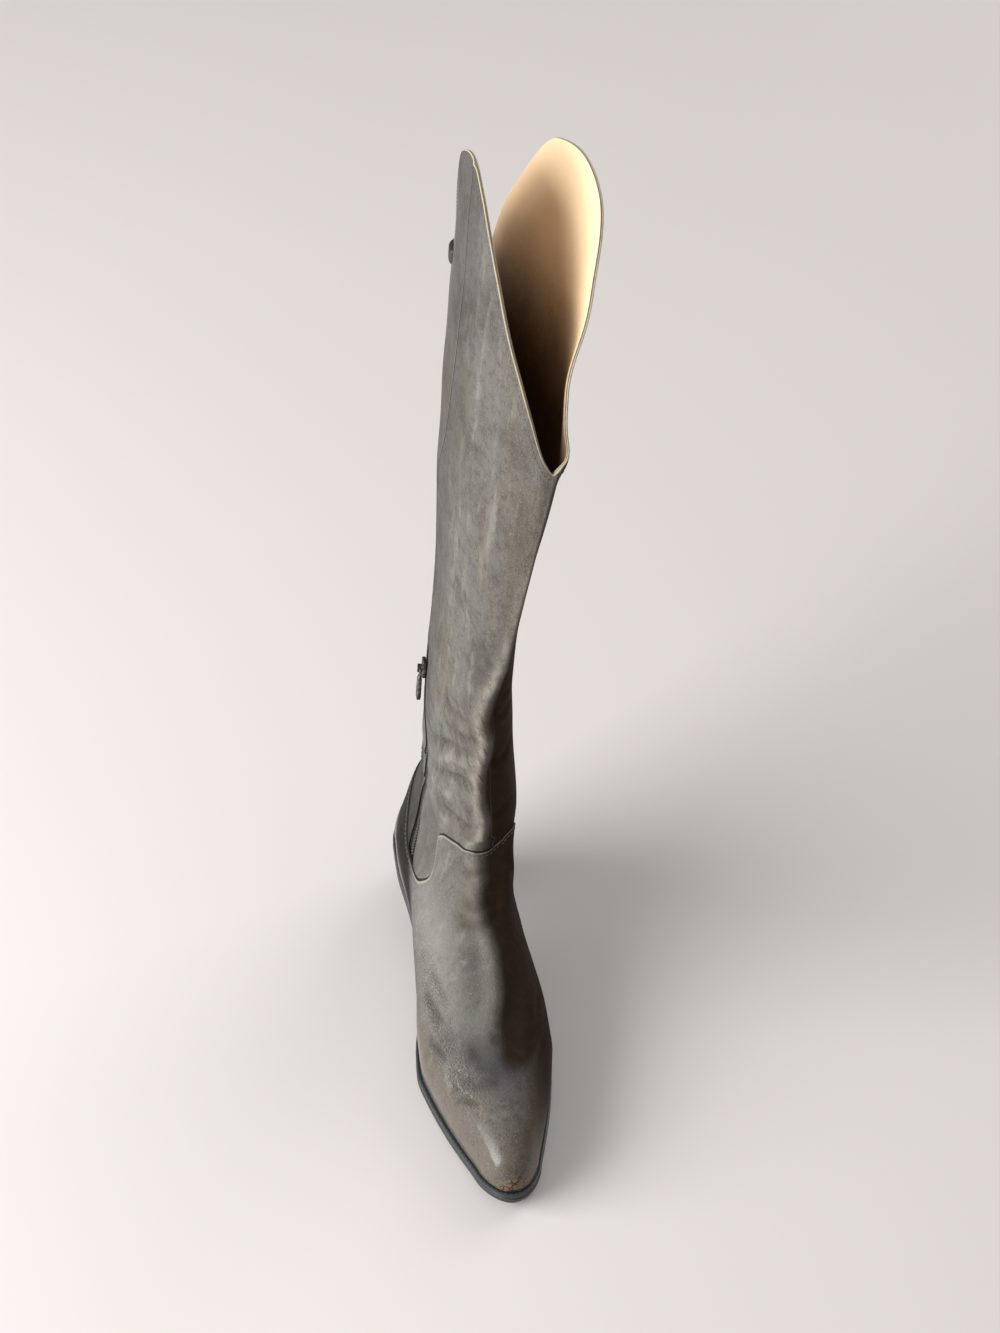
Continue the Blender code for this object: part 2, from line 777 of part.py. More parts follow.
def zip_frame(line, level):
    """Frame on the wall at a level of the zip's line: across, along and out, with its origin."""
    heights = np.array([level, level + SLIDER_LEVEL_STEP])
    turned = np.interp(heights, line[:, 1], line[:, 0])
    origin, above = last_surface(turned, heights)
    out = last_normal(turned, heights)[0]
    along = above - origin
    along = along - out * np.dot(along, out)
    along = along / np.linalg.norm(along)
    across = np.cross(along, out)
    frame = Matrix.Identity(4)
    for column, axis in enumerate((across, along, out)):
        frame.col[column] = (*axis, 0.0)
    frame.translation = Vector(origin) * MM
    return frame


def block(name, size, collection, bevel=0.0):
    """Box centred on the origin, sizes in millimetres."""
    work = bmesh.new()
    bmesh.ops.create_cube(work, size=1.0)
    bmesh.ops.scale(work, vec=Vector(size) * MM, verts=work.verts)
    mesh = bpy.data.meshes.new(name)
    work.to_mesh(mesh)
    work.free()
    made = bpy.data.objects.new(name, mesh)
    collection.objects.link(made)
    if bevel:
        edge = made.modifiers.new("edges", "BEVEL")
        edge.width = bevel * MM
        edge.segments = 2
    return made


def cut(thing, tool, operation):
    """Join or cut a piece with a tool, which is then only a guide."""
    step = thing.modifiers.new(tool.name, "BOOLEAN")
    step.operation = operation
    step.object = tool
    tool.hide_render = True
    tool.display_type = "WIRE"


def build_slider(frame, finish, collection, cutters):
    """Zip slider with a crown whose eye holds the pull."""
    wide, long, thick = SLIDER_SIZE
    bottom = WALL - INNER_DEPTH + SLIDER_CLEARANCE
    body = block("zip_slider", SLIDER_SIZE, collection, SLIDER_BEVEL)
    for vertex in body.data.vertices:
        if vertex.co.y < 0:
            vertex.co.x *= SLIDER_NOSE
        vertex.co.z += (bottom + thick / 2) * MM
    body.data.materials.append(finish)
    crown = block("slider_crown", CROWN_SIZE, cutters)
    for vertex in crown.data.vertices:
        vertex.co.z += (bottom + thick - GAP / MM + CROWN_SIZE[2] / 2) * MM
    work = bmesh.new()
    bmesh.ops.create_cone(
        work,
        cap_ends=True,
        segments=20,
        radius1=EYE_RADIUS * MM,
        radius2=EYE_RADIUS * MM,
        depth=wide * MM,
        matrix=Matrix.Rotation(math.pi / 2, 4, "Y"),
    )
    mesh = bpy.data.meshes.new("slider_eye")
    work.to_mesh(mesh)
    work.free()
    eye = bpy.data.objects.new("slider_eye", mesh)
    cutters.objects.link(eye)
    axis = Vector((0, 0, (bottom + thick + EYE_RADIUS) * MM))
    eye.location = frame @ axis
    eye.rotation_euler = frame.to_euler()
    for piece in (body, crown):
        piece.location = frame.translation
        piece.rotation_euler = frame.to_euler()
    cut(body, crown, "UNION")
    cut(body, eye, "DIFFERENCE")
    return frame @ axis


def outline_spline(curve, points):
    """Add a closed outline of (x, y) points in millimetres to a flat curve."""
    spline = curve.splines.new("POLY")
    spline.points.add(len(points) - 1)
    for point, place in zip(spline.points, points):
        point.co = (place[0] * MM, place[1] * MM, 0.0, 1.0)
    spline.use_cyclic_u = True


def build_pull(frame, pivot, finish, collection):
    """Pull tab: a small frame around the crown, a neck and a tongue with a round end."""
    turns = np.linspace(0, -math.pi, 13)
    end_y = -PULL_END + PULL_END_HALF
    tip = [(PULL_END_HALF * math.cos(t), end_y + PULL_END_HALF * math.sin(t)) for t in turns]
    right = [
        (PULL_EYE_HALF, PULL_BAR),
        (PULL_EYE_HALF, -PULL_WINDOW_END),
        (PULL_NECK_HALF, -PULL_NECK),
    ]
    left = [(-x, y) for x, y in reversed(right)]
    window = [
        (PULL_WINDOW_HALF, -PULL_BAR),
        (-PULL_WINDOW_HALF, -PULL_BAR),
        (-PULL_WINDOW_HALF, -PULL_WINDOW_END),
        (PULL_WINDOW_HALF, -PULL_WINDOW_END),
    ]
    curve = bpy.data.curves.new("zip_pull", "CURVE")
    curve.dimensions = "2D"
    curve.fill_mode = "BOTH"
    curve.extrude = PULL_THICKNESS / 2 * MM
    outline_spline(curve, right + tip + left)
    outline_spline(curve, window)
    guide = bpy.data.objects.new("zip_pull_outline", curve)
    collection.objects.link(guide)
    graph = bpy.context.evaluated_depsgraph_get()
    mesh = bpy.data.meshes.new_from_object(guide.evaluated_get(graph))
    bpy.data.objects.remove(guide, do_unlink=True)
    work = bmesh.new()
    work.from_mesh(mesh)
    bmesh.ops.remove_doubles(work, verts=work.verts, dist=0.01 * MM)
    work.to_mesh(mesh)
    work.free()
    made = bpy.data.objects.new("zip_pull", mesh)
    made.data.materials.append(finish)
    collection.objects.link(made)
    made.location = pivot
    made.rotation_euler = frame.to_euler()


def build_zip(columns, degrees, levels, open_rows, finishes, collection, cutters):
    """Tape behind the slot, chain in it, slider near its upper end and the hanging pull."""
    near = abs(columns - ZIP_ANGLE) <= TAPE_REACH_ANGLE + 0.1
    tape_rows = np.arange(open_rows[0] - 1, open_rows[-1] + 3)
    tape = np.ix_(tape_rows, np.nonzero(near)[0])
    strip(
        "zip_tape",
        degrees[tape],
        levels[tape],
        INNER_DEPTH + GAP / MM + TAPE_THICKNESS,
        TAPE_THICKNESS,
        finishes["tape"],
        collection,
    )
    middle = int(np.argmin(abs(columns - ZIP_ANGLE)))
    slot = slice(open_rows[0], open_rows[-1] + 2)
    line = np.column_stack([degrees[slot, middle], levels[slot, middle]])
    chain = line.copy()
    chain[0, 1] += CHAIN_END
    chain[-1, 1] -= CHAIN_END
    chain[:, 0] = np.interp(chain[:, 1], line[:, 1], line[:, 0])
    strip(
        "zip_chain",
        chain[:, :1] + CHAIN_HALF_ANGLE * np.array([-1.0, 0.0, 1.0]),
        np.repeat(chain[:, 1:], 3, axis=1),
        INNER_DEPTH,
        CHAIN_THICKNESS,
        finishes["metal"],
        collection,
    )
    frame = zip_frame(line, chain[-1, 1] - SLIDER_BELOW_END)
    pivot = build_slider(frame, finishes["metal"], collection, cutters)
    build_pull(frame, pivot, finishes["metal"], collection)
    return frame, pivot


def build_parts():
    """Build the whole boot."""
    clear_scene()
    boot = make_collection("over_the_knee_boot")
    cutters = make_collection("cutters")
    finishes = {
        "leather": material("leather", (0.22, 0.19, 0.165), 0.62),
        "edge": material("sole_edge", (0.03, 0.032, 0.036), 0.5),
        "sole": material("sole", (0.025, 0.025, 0.027), 0.6),
        "insole": material("insole_leather", (0.62, 0.42, 0.22), 0.6),
        "heel": material("heel_leather", (0.02, 0.018, 0.017), 0.45),
        "lift": material("top_lift_rubber", (0.015, 0.015, 0.015), 0.7),
        "tape": material("zip_tape", (0.11, 0.105, 0.1), 0.85),
        "metal": material("zip_metal", (0.16, 0.15, 0.14), 0.35, 1.0),
    }
    columns, degrees, levels, open_rows = build_upper(finishes["leather"], boot)
    build_sole(finishes, boot)
    build_heel(finishes, boot)
    build_zip(columns, degrees, levels, open_rows, finishes, boot, cutters)


build_parts()
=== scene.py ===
"""Looks of an over-the-knee western boot for the left foot, empty and standing on its sole.

Frame: metres, +Z up, the floor at z = 0, the toe towards -Y, the big-toe side towards -X. Sizes
are kept in millimetres and scaled once, where a mesh is made.

The upper is drawn on a last. A point of the last has an angle, 0 at the front and 180 degrees at
the back, positive on the outer side, and a level, 0 at the feather line, 1 at the ankle and 2
across the tips of the collar.
"""

import json
import logging
import math
from dataclasses import dataclass, field
from enum import Enum
from typing import Any, Callable, NamedTuple, Sequence

import bpy
import numpy as np
from mathutils import Matrix, Vector

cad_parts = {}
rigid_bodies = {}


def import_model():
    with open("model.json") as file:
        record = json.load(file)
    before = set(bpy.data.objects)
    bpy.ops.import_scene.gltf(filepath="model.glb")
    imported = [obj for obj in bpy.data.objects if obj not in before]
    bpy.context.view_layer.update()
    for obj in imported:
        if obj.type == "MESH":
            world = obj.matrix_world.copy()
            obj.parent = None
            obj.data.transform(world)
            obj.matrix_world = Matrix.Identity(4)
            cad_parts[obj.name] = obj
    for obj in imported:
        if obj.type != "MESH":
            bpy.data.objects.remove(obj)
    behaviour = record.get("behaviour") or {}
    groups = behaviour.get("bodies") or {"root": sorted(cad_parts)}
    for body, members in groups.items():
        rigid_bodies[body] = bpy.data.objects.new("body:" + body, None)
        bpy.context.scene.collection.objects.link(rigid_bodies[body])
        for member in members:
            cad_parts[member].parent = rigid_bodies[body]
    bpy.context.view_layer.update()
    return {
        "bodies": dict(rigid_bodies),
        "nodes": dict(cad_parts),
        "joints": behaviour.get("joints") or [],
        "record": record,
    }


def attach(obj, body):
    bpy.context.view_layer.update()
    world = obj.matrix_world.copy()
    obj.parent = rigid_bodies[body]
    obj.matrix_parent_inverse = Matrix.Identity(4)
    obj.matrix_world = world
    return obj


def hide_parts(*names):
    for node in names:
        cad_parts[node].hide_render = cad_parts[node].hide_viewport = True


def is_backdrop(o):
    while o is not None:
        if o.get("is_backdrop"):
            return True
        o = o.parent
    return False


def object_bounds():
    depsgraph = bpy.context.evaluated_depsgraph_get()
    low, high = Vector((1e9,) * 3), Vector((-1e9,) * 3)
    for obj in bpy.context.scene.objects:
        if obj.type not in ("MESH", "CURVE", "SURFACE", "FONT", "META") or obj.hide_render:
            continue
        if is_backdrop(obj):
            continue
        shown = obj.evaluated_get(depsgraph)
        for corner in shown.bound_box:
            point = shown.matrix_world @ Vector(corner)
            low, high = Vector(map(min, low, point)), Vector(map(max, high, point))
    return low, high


LOG = logging.getLogger("boot")
MM = 0.001
Array = np.ndarray
Colour = tuple[float, float, float]
Pairs = tuple[tuple[float, float], ...]


class Body(Enum):
    """Moving bodies of the boot."""

    BOOT = "boot"
    PULL = "pull_tab"


# ---------------------------------------------------------------------------------------------
# The last
# ---------------------------------------------------------------------------------------------


class Outline(NamedTuple):
    """A station of the feather line: its middle and half width before the ends are rounded.

    The wall bulges past the half width by the swells, and the welt and outsole by the ledge.
    """

    y: float
    middle: float
    half: float
    inner_swell: float
    outer_swell: float
    ledge: float


class Section(NamedTuple):
    """A ring of the upper: front and back points, half widths and the roundness of its ends."""

    level: float
    front_x: float
    front_y: float
    front_z: float
    back_x: float
    back_y: float
    back_z: float
    inner: float
    outer: float
    power: float
    nose: float
    seat: float


class Fold(NamedTuple):
    """A broad soft form: where it is, how far it spreads and how high it stands."""

    angle: float
    level: float
    wide: float
    tall: float
    height: float


class Crease(NamedTuple):
    """A narrow form along a path of (angle, level), below zero in a trough.

    The lip is the share of the height that stands up again beside it.
    """

    path: Pairs
    width: float
    height: float
    lip: float = 0.35


class Crest(NamedTuple):
    """The worn front crest at a level: its angle, its height and the hollow on its outer side."""

    level: float
    angle: float
    height: float
    hollow: float


class Ramp(NamedTuple):
    """A soft step of the finish along a field, from nothing at its start to all at its end."""

    key: str
    start: float
    end: float


class Patch(NamedTuple):
    """A soft patch of the finish: its middle in angle and level, and how far it spreads in each."""

    angle: float
    wide: float
    level: float
    tall: float

    def share(self, angle: Array, level: Array) -> Array:
        """Strength of the patch at angles and levels, a bell around its middle."""
        return bell((angle - self.angle) / self.wide, (level - self.level) / self.tall)


def rows(kind: type, *table: tuple[Any, ...]) -> tuple[Any, ...]:
    """Return the rows of a table as named tuples of a kind."""
    return tuple(kind(*row) for row in table)


OUTLINE = rows(
    Outline,
    # y, middle, half width, inner and outer swell, ledge
    (-256, 1.9, 12.0, 0.4, 1.6, 2.7),
    (-250, 1.9, 13.0, 0.4, 1.6, 2.7),
    (-232, 1.9, 17.0, 0.5, 2.6, 2.7),
    (-216, 1.9, 22.5, 0.7, 3.4, 2.7),
    (-201, 2.0, 27.6, 1.0, 4.0, 2.7),
    (-186, 2.2, 32.0, 1.2, 4.4, 2.7),
    (-171, 2.2, 35.6, 1.4, 4.6, 2.7),
    (-155, 2.4, 38.4, 1.8, 4.6, 2.7),
    (-135, 3.7, 37.8, 3.0, 4.6, 2.4),
    (-110, 5.5, 34.0, 4.6, 4.8, 1.7),
    (-80, 5.5, 29.5, 5.4, 4.6, 0.8),
    (-50, 2.8, 27.7, 4.4, 3.6, 0.8),
    (-20, -0.4, 27.9, 2.4, 2.2, 1.2),
    (5, -0.4, 26.8, 1.2, 1.2, 1.6),
    (32, -0.2, 26.5, 1.2, 1.2, 1.6),
)

# Height of the top of the welt at each y.
SIDE_CURVE = (
    (-256, 15.9), (-250, 15.0), (-225, 11.6), (-190, 9.3), (-165, 8.65), (-137, 8.65),
    (-120, 9.9), (-95, 15.0), (-60, 28.0), (-30, 40.0), (-10, 45.0), (26, 48.0), (34, 48.5),
)

SECTIONS = rows(
    Section,
    # level, front x y z, back x y z, inner, outer, power, nose, seat
    (0.00, 1.9, -250, 15, 0.0, 26.0, 48, 25, 30, 2.0, 0.5, 0.45),
    (0.08, 1.9, -249, 21, 0.0, 29.0, 55, 25, 30, 2.0, 0.5, 0.45),
    (0.18, 2.4, -242, 31, 0.0, 31.0, 62, 25, 30, 2.0, 0.5, 0.45),
    (0.30, 3.8, -222, 41, 0.0, 31.5, 70, 25, 30, 2.0, 0.5, 0.45),
    (0.45, 6.5, -180, 52, 0.5, 30.0, 80, 25, 30, 2.0, 0.5, 0.45),
    (0.60, 9.5, -142, 65, 1.0, 28.0, 90, 25, 30, 2.0, 0.5, 0.45),
    (0.76, 12.0, -108, 84, 2.0, 25.0, 101, 25, 30, 2.0, 0.5, 0.45),
    (0.90, 13.5, -87, 106, 3.0, 23.0, 113, 25, 30, 2.0, 0.5, 0.45),
    (1.00, 14.5, -78, 125, 5.0, 21.0, 125, 23, 30, 2.0, 0.5, 0.45),
    (1.15, 16.0, -71, 190, 8.0, 23.0, 190, 25, 24, 1.9, 0.5, 0.50),
    (1.35, 20.0, -82, 275, 11.0, 37.0, 275, 21, 18, 1.8, 0.5, 0.50),
    (1.55, 27.0, -95, 350, 14.0, 44.0, 350, 25, 16, 1.9, 0.5, 0.50),
    (1.75, 36.0, -100, 420, 18.0, 48.0, 420, 27.5, 17, 1.9, 0.5, 0.50),
    (1.87, 40.0, -103, 480, 21.0, 52.0, 480, 26.5, 22.5, 1.9, 0.5, 0.50),
    (2.00, 44.0, -105, 550, 24.0, 56.0, 550, 26, 32.5, 1.9, 0.5, 0.50),
)

# Lines drawn around the upper: the level that each passes at an angle.
COLLAR = (
    (-180, 1.745), (-165, 1.77), (-140, 1.91), (-120, 1.985), (-105, 2.0), (-90, 1.985),
    (-70, 1.93), (-50, 1.865), (-30, 1.81), (-12, 1.765), (0, 1.75), (10, 1.765), (30, 1.84),
    (50, 1.93), (75, 1.99), (95, 2.0), (115, 1.99), (140, 1.91), (165, 1.77), (180, 1.745),
)

OVERLAY = (
    (-180, 0.72), (-150, 0.70), (-125, 0.63), (-112, 0.55), (-102, 0.53), (-86, 0.63),
    (-72, 0.76), (-64, 0.91), (-45, 0.962), (-28, 0.975), (0, 0.968), (28, 0.990), (45, 0.985),
    (64, 0.91), (76, 0.76), (90, 0.64), (104, 0.58), (125, 0.63), (150, 0.70), (180, 0.72),
)

# Angle of the line of the zip, and above it of the seam, at a share of the way up the wall, which
# is -1 at the feather line, 0 at the edge of the overlay and 1 at the collar.
ZIP_PATH = (
    (-1.0, -105), (0.0, -107), (0.11, -104), (0.205, -102), (0.296, -97), (0.35, -92),
    (0.40, -101), (0.445, -110), (0.52, -116), (0.70, -108), (0.77, -101), (0.83, -100),
    (0.89, -98), (1.0, -101),
)

FOLDS = rows(
    Fold,
    # angle, level, wide, tall, height
    (14, 1.775, 8, 0.03, 4.0), (34, 1.85, 16, 0.05, -4.0), (-48, 1.235, 16, 0.035, 1.2),
    (-50, 1.055, 18, 0.022, 1.5), (-34, 0.80, 16, 0.05, -1.6), (-62, 0.60, 18, 0.06, 1.0),
    (-12, 0.435, 24, 0.036, -2.6), (-60, 0.375, 12, 0.03, 1.6), (-44, 0.27, 9, 0.025, 1.3),
    (20, 0.25, 20, 0.05, 0.9),
)

CREST = rows(
    Crest,
    # level, angle, height, hollow
    (0.36, 0, 0.0, 0.0), (0.42, -4, 0.0, 1.2), (0.507, -4, 1.3, 2.8), (0.585, 4, 1.8, 3.2),
    (0.659, 4, 1.8, 3.2), (0.734, -3, 2.0, 3.2), (0.80, -12, 0.8, 3.0), (0.839, -13, 1.6, 3.2),
    (0.885, -8, 2.0, 2.4), (0.945, -10, 1.8, 2.4), (0.992, -7, 2.6, 3.6), (1.04, -3, 3.2, 4.2),
    (1.075, -11, 2.2, 4.2), (1.112, -12, 2.6, 4.2), (1.152, -7, 3.4, 3.8), (1.178, -6, 3.6, 3.8),
    (1.215, -16, 1.8, 4.6), (1.268, -13, 2.6, 4.0), (1.303, -6, 2.2, 3.0), (1.392, 2, 1.6, 1.8),
    (1.485, 3, 1.0, 1.0), (1.62, 3, 0.0, 0.0),
)

CREASES = rows(
    Crease,
    # path, width, height, lip
    (((-94, 1.103), (-66, 1.128), (-44, 1.145), (-18, 1.145)), 3.2, -2.2, 0.6),
    (((-90, 1.085), (-62, 1.105), (-42, 1.125), (-20, 1.125)), 3.0, 1.5, 0.0),
    (((-86, 1.070), (-55, 1.088), (-33, 1.098), (-12, 1.085)), 3.0, -2.1, 0.6),
    (((-84, 1.048), (-60, 1.058), (-36, 1.066)), 3.0, 1.2, 0.0),
    (((-64, 1.172), (-36, 1.172), (-14, 1.18)), 3.0, -1.7, 0.6),
    (((-76, 1.225), (-50, 1.205), (-26, 1.205)), 2.8, -1.2, 0.5),
    (((-70, 1.0), (-60, 0.997), (-46, 1.0)), 2.6, 0.8, 0.0),
    (((-66, 1.03), (-40, 1.026), (-18, 1.018)), 2.8, -1.6, 0.6),
    (((-106, 1.135), (-104, 1.083), (-96, 1.068), (-84, 1.05)), 2.6, 1.2, 0.2),
    (((-42, 1.385), (-29, 1.355), (-12, 1.325)), 3.0, -0.8),
    (((6, 1.33), (22, 1.27), (34, 1.25)), 4.0, -1.4),
    (((2, 1.24), (22, 1.215), (46, 1.228)), 4.0, -1.8),
    (((4, 1.13), (26, 1.125), (58, 1.145)), 3.6, -1.8),
    (((2, 1.045), (22, 1.035), (50, 1.055)), 3.4, -1.4),
    (((-42, 0.734), (-22, 0.752), (-2, 0.76), (12, 0.772), (26, 0.772)), 4.2, -1.5),
    (((-30, 0.83), (-14, 0.80), (6, 0.812), (30, 0.79)), 3.6, -1.5),
    (((-26, 0.885), (-6, 0.905), (14, 0.90)), 3.0, -0.9),
    (((-56, 1.677), (-49, 1.63), (-45, 1.573), (-41, 1.45)), 3.4, 0.7, 0.0),
    (((-61, 1.665), (-58, 1.625)), 2.6, -0.7),
    (((-48, 0.209), (-38, 0.285), (-22, 0.335)), 2.0, -1.6, 0.5),
    (((-30, 0.417), (-19, 0.45), (-10, 0.464), (0, 0.477), (10, 0.489)), 6.5, -1.8),
    (((-40, 0.345), (-26, 0.364), (-8, 0.395), (8, 0.40)), 4.5, -1.4),
    (((-66, 0.30), (-54, 0.335), (-46, 0.345)), 2.6, -1.0, 0.5),
    (((-70, 0.40), (-58, 0.425), (-44, 0.435)), 2.8, -0.9, 0.5),
    (((-50, 0.342), (-47, 0.30), (-46, 0.262)), 3.2, 1.1, 0.0),
    (((-66, 0.47), (-54, 0.50), (-40, 0.495)), 2.6, -0.6),
    (((120, 1.10), (90, 1.115), (62, 1.10)), 2.8, -1.4),
    (((150, 1.18), (120, 1.165), (95, 1.18)), 3.0, -1.4),
    (((-150, 1.16), (-128, 1.145), (-112, 1.15)), 2.4, -1.0),
    (((175, 1.09), (200, 1.10), (225, 1.09)), 3.0, -1.3),
    (((30, 0.42), (52, 0.395), (72, 0.37)), 2.8, -1.2),
    (((34, 0.34), (56, 0.325), (70, 0.30)), 2.6, -0.9),
)

# Where the finish of the upper changes: a share is the product of its ramps.
RAMPS = {
    # Painted shade over the outer side of the toe.
    "toe_side_shade": rows(Ramp, ("angle", 2, 36), ("level", 0.36, 0.24), ("angle", 160, 120)),
    "ankle": rows(Ramp, ("angle", -112, -98), ("angle", 4, -10)),
    # Painted shade down the big-toe side of the shaft.
    "shin_shade": rows(Ramp, ("angle", -128, -118), ("angle", -72, -98), ("level", 0.95, 1.15)),
    # Painted shade over the counter behind the zip, and fainter on the shaft above the overlay.
    "counter": rows(Ramp, ("angle", -100, -109), ("angle", -180, -160)),
    "counter_shade_shaft": rows(Ramp, ("level", 1.30, 0.96)),
    # Painted shade over the outer side: ahead moves its start, outer ends it at the back, and side fades it
    # towards the side and back.
    "ahead": rows(Ramp, ("level", 0.45, 0.35)),
    "outer": rows(Ramp, ("away", 184, 150)),
    "side": rows(Ramp, ("away", 78, 118), ("away", 180, 140)),
    # The front crest, paler where rubbed and by painted light.
    "crest": rows(Ramp, ("level", 0.44, 0.54)),
    "crest_shaft": rows(Ramp, ("level", 0.90, 0.98)),
    # Painted shade in the recess just above the overlay's edge beside the zip.
    "pocket_shade": rows(
        Ramp, ("edge", 0, 3), ("level", 1.02, 0.92), ("angle", -60, -70), ("angle", -112, -106)
    ),
}
FLANKS = rows(Patch, (-66, 24, 0.45, 0.13), (-44, 22, 0.33, 0.09))
# Painted shade across the hollow of the ball, in a slate tint.
BALL_SHADE = Patch(4, 40, 0.425, 0.055)
INSTEP = Patch(-62, 34, 0.55, 0.17)


class Track:
    """A smooth curve through a table, that keeps each rise and fall without overshoot.

    Between two rows it is the cubic Hermite curve, whose slope at a row is the weighted harmonic
    mean of the rises beside it, and zero at a turn.
    """

    def __init__(self, places: Sequence[float], values: Sequence[float]) -> None:
        """Work out the slopes of the curve at the rows of the table."""
        self.places = np.array(places, dtype=float)
        self.values = np.array(values, dtype=float)
        self.steps = np.diff(self.places)
        rises = np.diff(self.values) / self.steps
        before = 2 * self.steps[1:] + self.steps[:-1]
        after = self.steps[1:] + 2 * self.steps[:-1]
        same = rises[:-1] * rises[1:] > 0
        left = np.where(same, rises[:-1], 1.0)
        right = np.where(same, rises[1:], 1.0)
        inner = (before + after) / (before / left + after / right)
        self.slopes = np.empty_like(self.values)
        self.slopes[1:-1] = np.where(same, inner, 0.0)
        self.slopes[0] = rises[0]
        self.slopes[-1] = rises[-1]

    def __call__(self, place: Any) -> Array:
        """Return the value of the curve at a place, held beyond its ends."""
        place = np.clip(np.asarray(place, dtype=float), self.places[0], self.places[-1])
        last = len(self.places) - 2
        cell = np.clip(np.searchsorted(self.places, place, side="right") - 1, 0, last)
        step = self.steps[cell]
        t = (place - self.places[cell]) / step
        start = (1 + 2 * t) * (1 - t) ** 2 * self.values[cell]
        leave = t * (1 - t) ** 2 * step * self.slopes[cell]
        end = t * t * (3 - 2 * t) * self.values[cell + 1]
        arrive = t * t * (t - 1) * step * self.slopes[cell + 1]
        return start + leave + end + arrive


def tracks(table: Sequence[Any], key: str) -> dict[str, Track]:
    """Return one Track for each column of a table, against its key column."""
    keys = [getattr(row, key) for row in table]
    return {name: Track(keys, [getattr(row, name) for row in table]) for name in table[0]._fields}


def smooth(t: Array) -> Array:
    """Ease from 0 to 1: three t squared less two t cubed."""
    t = np.clip(t, 0, 1)
    return t * t * (3 - 2 * t)


def round_end(distance: Array, radius: float | Array) -> Array:
    """Share of the full width at a distance from a rounded end: a quarter circle of that radius."""
    t = np.clip(distance / radius, 0, 1)
    return np.sqrt(1 - (1 - t) ** 2)


def bell(*shares: Array) -> Array:
    """Bell exp(-s^2 - t^2 ...) of distances from its middle, each a share of its width."""
    return np.exp(-sum(share**2 for share in shares))


def unit(vectors: Array) -> Array:
    """Vectors scaled to length one."""
    return vectors / np.maximum(np.linalg.norm(vectors, axis=-1, keepdims=True), 1e-9)


def turned(degrees: Array) -> Array:
    """Angle between -180 and 180 degrees."""
    return (degrees + 180) % 360 - 180


def full_turn(count: int) -> Array:
    """Equal steps around a full turn, in radians."""
    return np.linspace(0, 2 * np.pi, count, endpoint=False)


def power_wave(wave: Array, power: float) -> Array:
    """Sine or cosine raised to a power, with its sign kept."""
    return np.sign(wave) * abs(wave) ** power


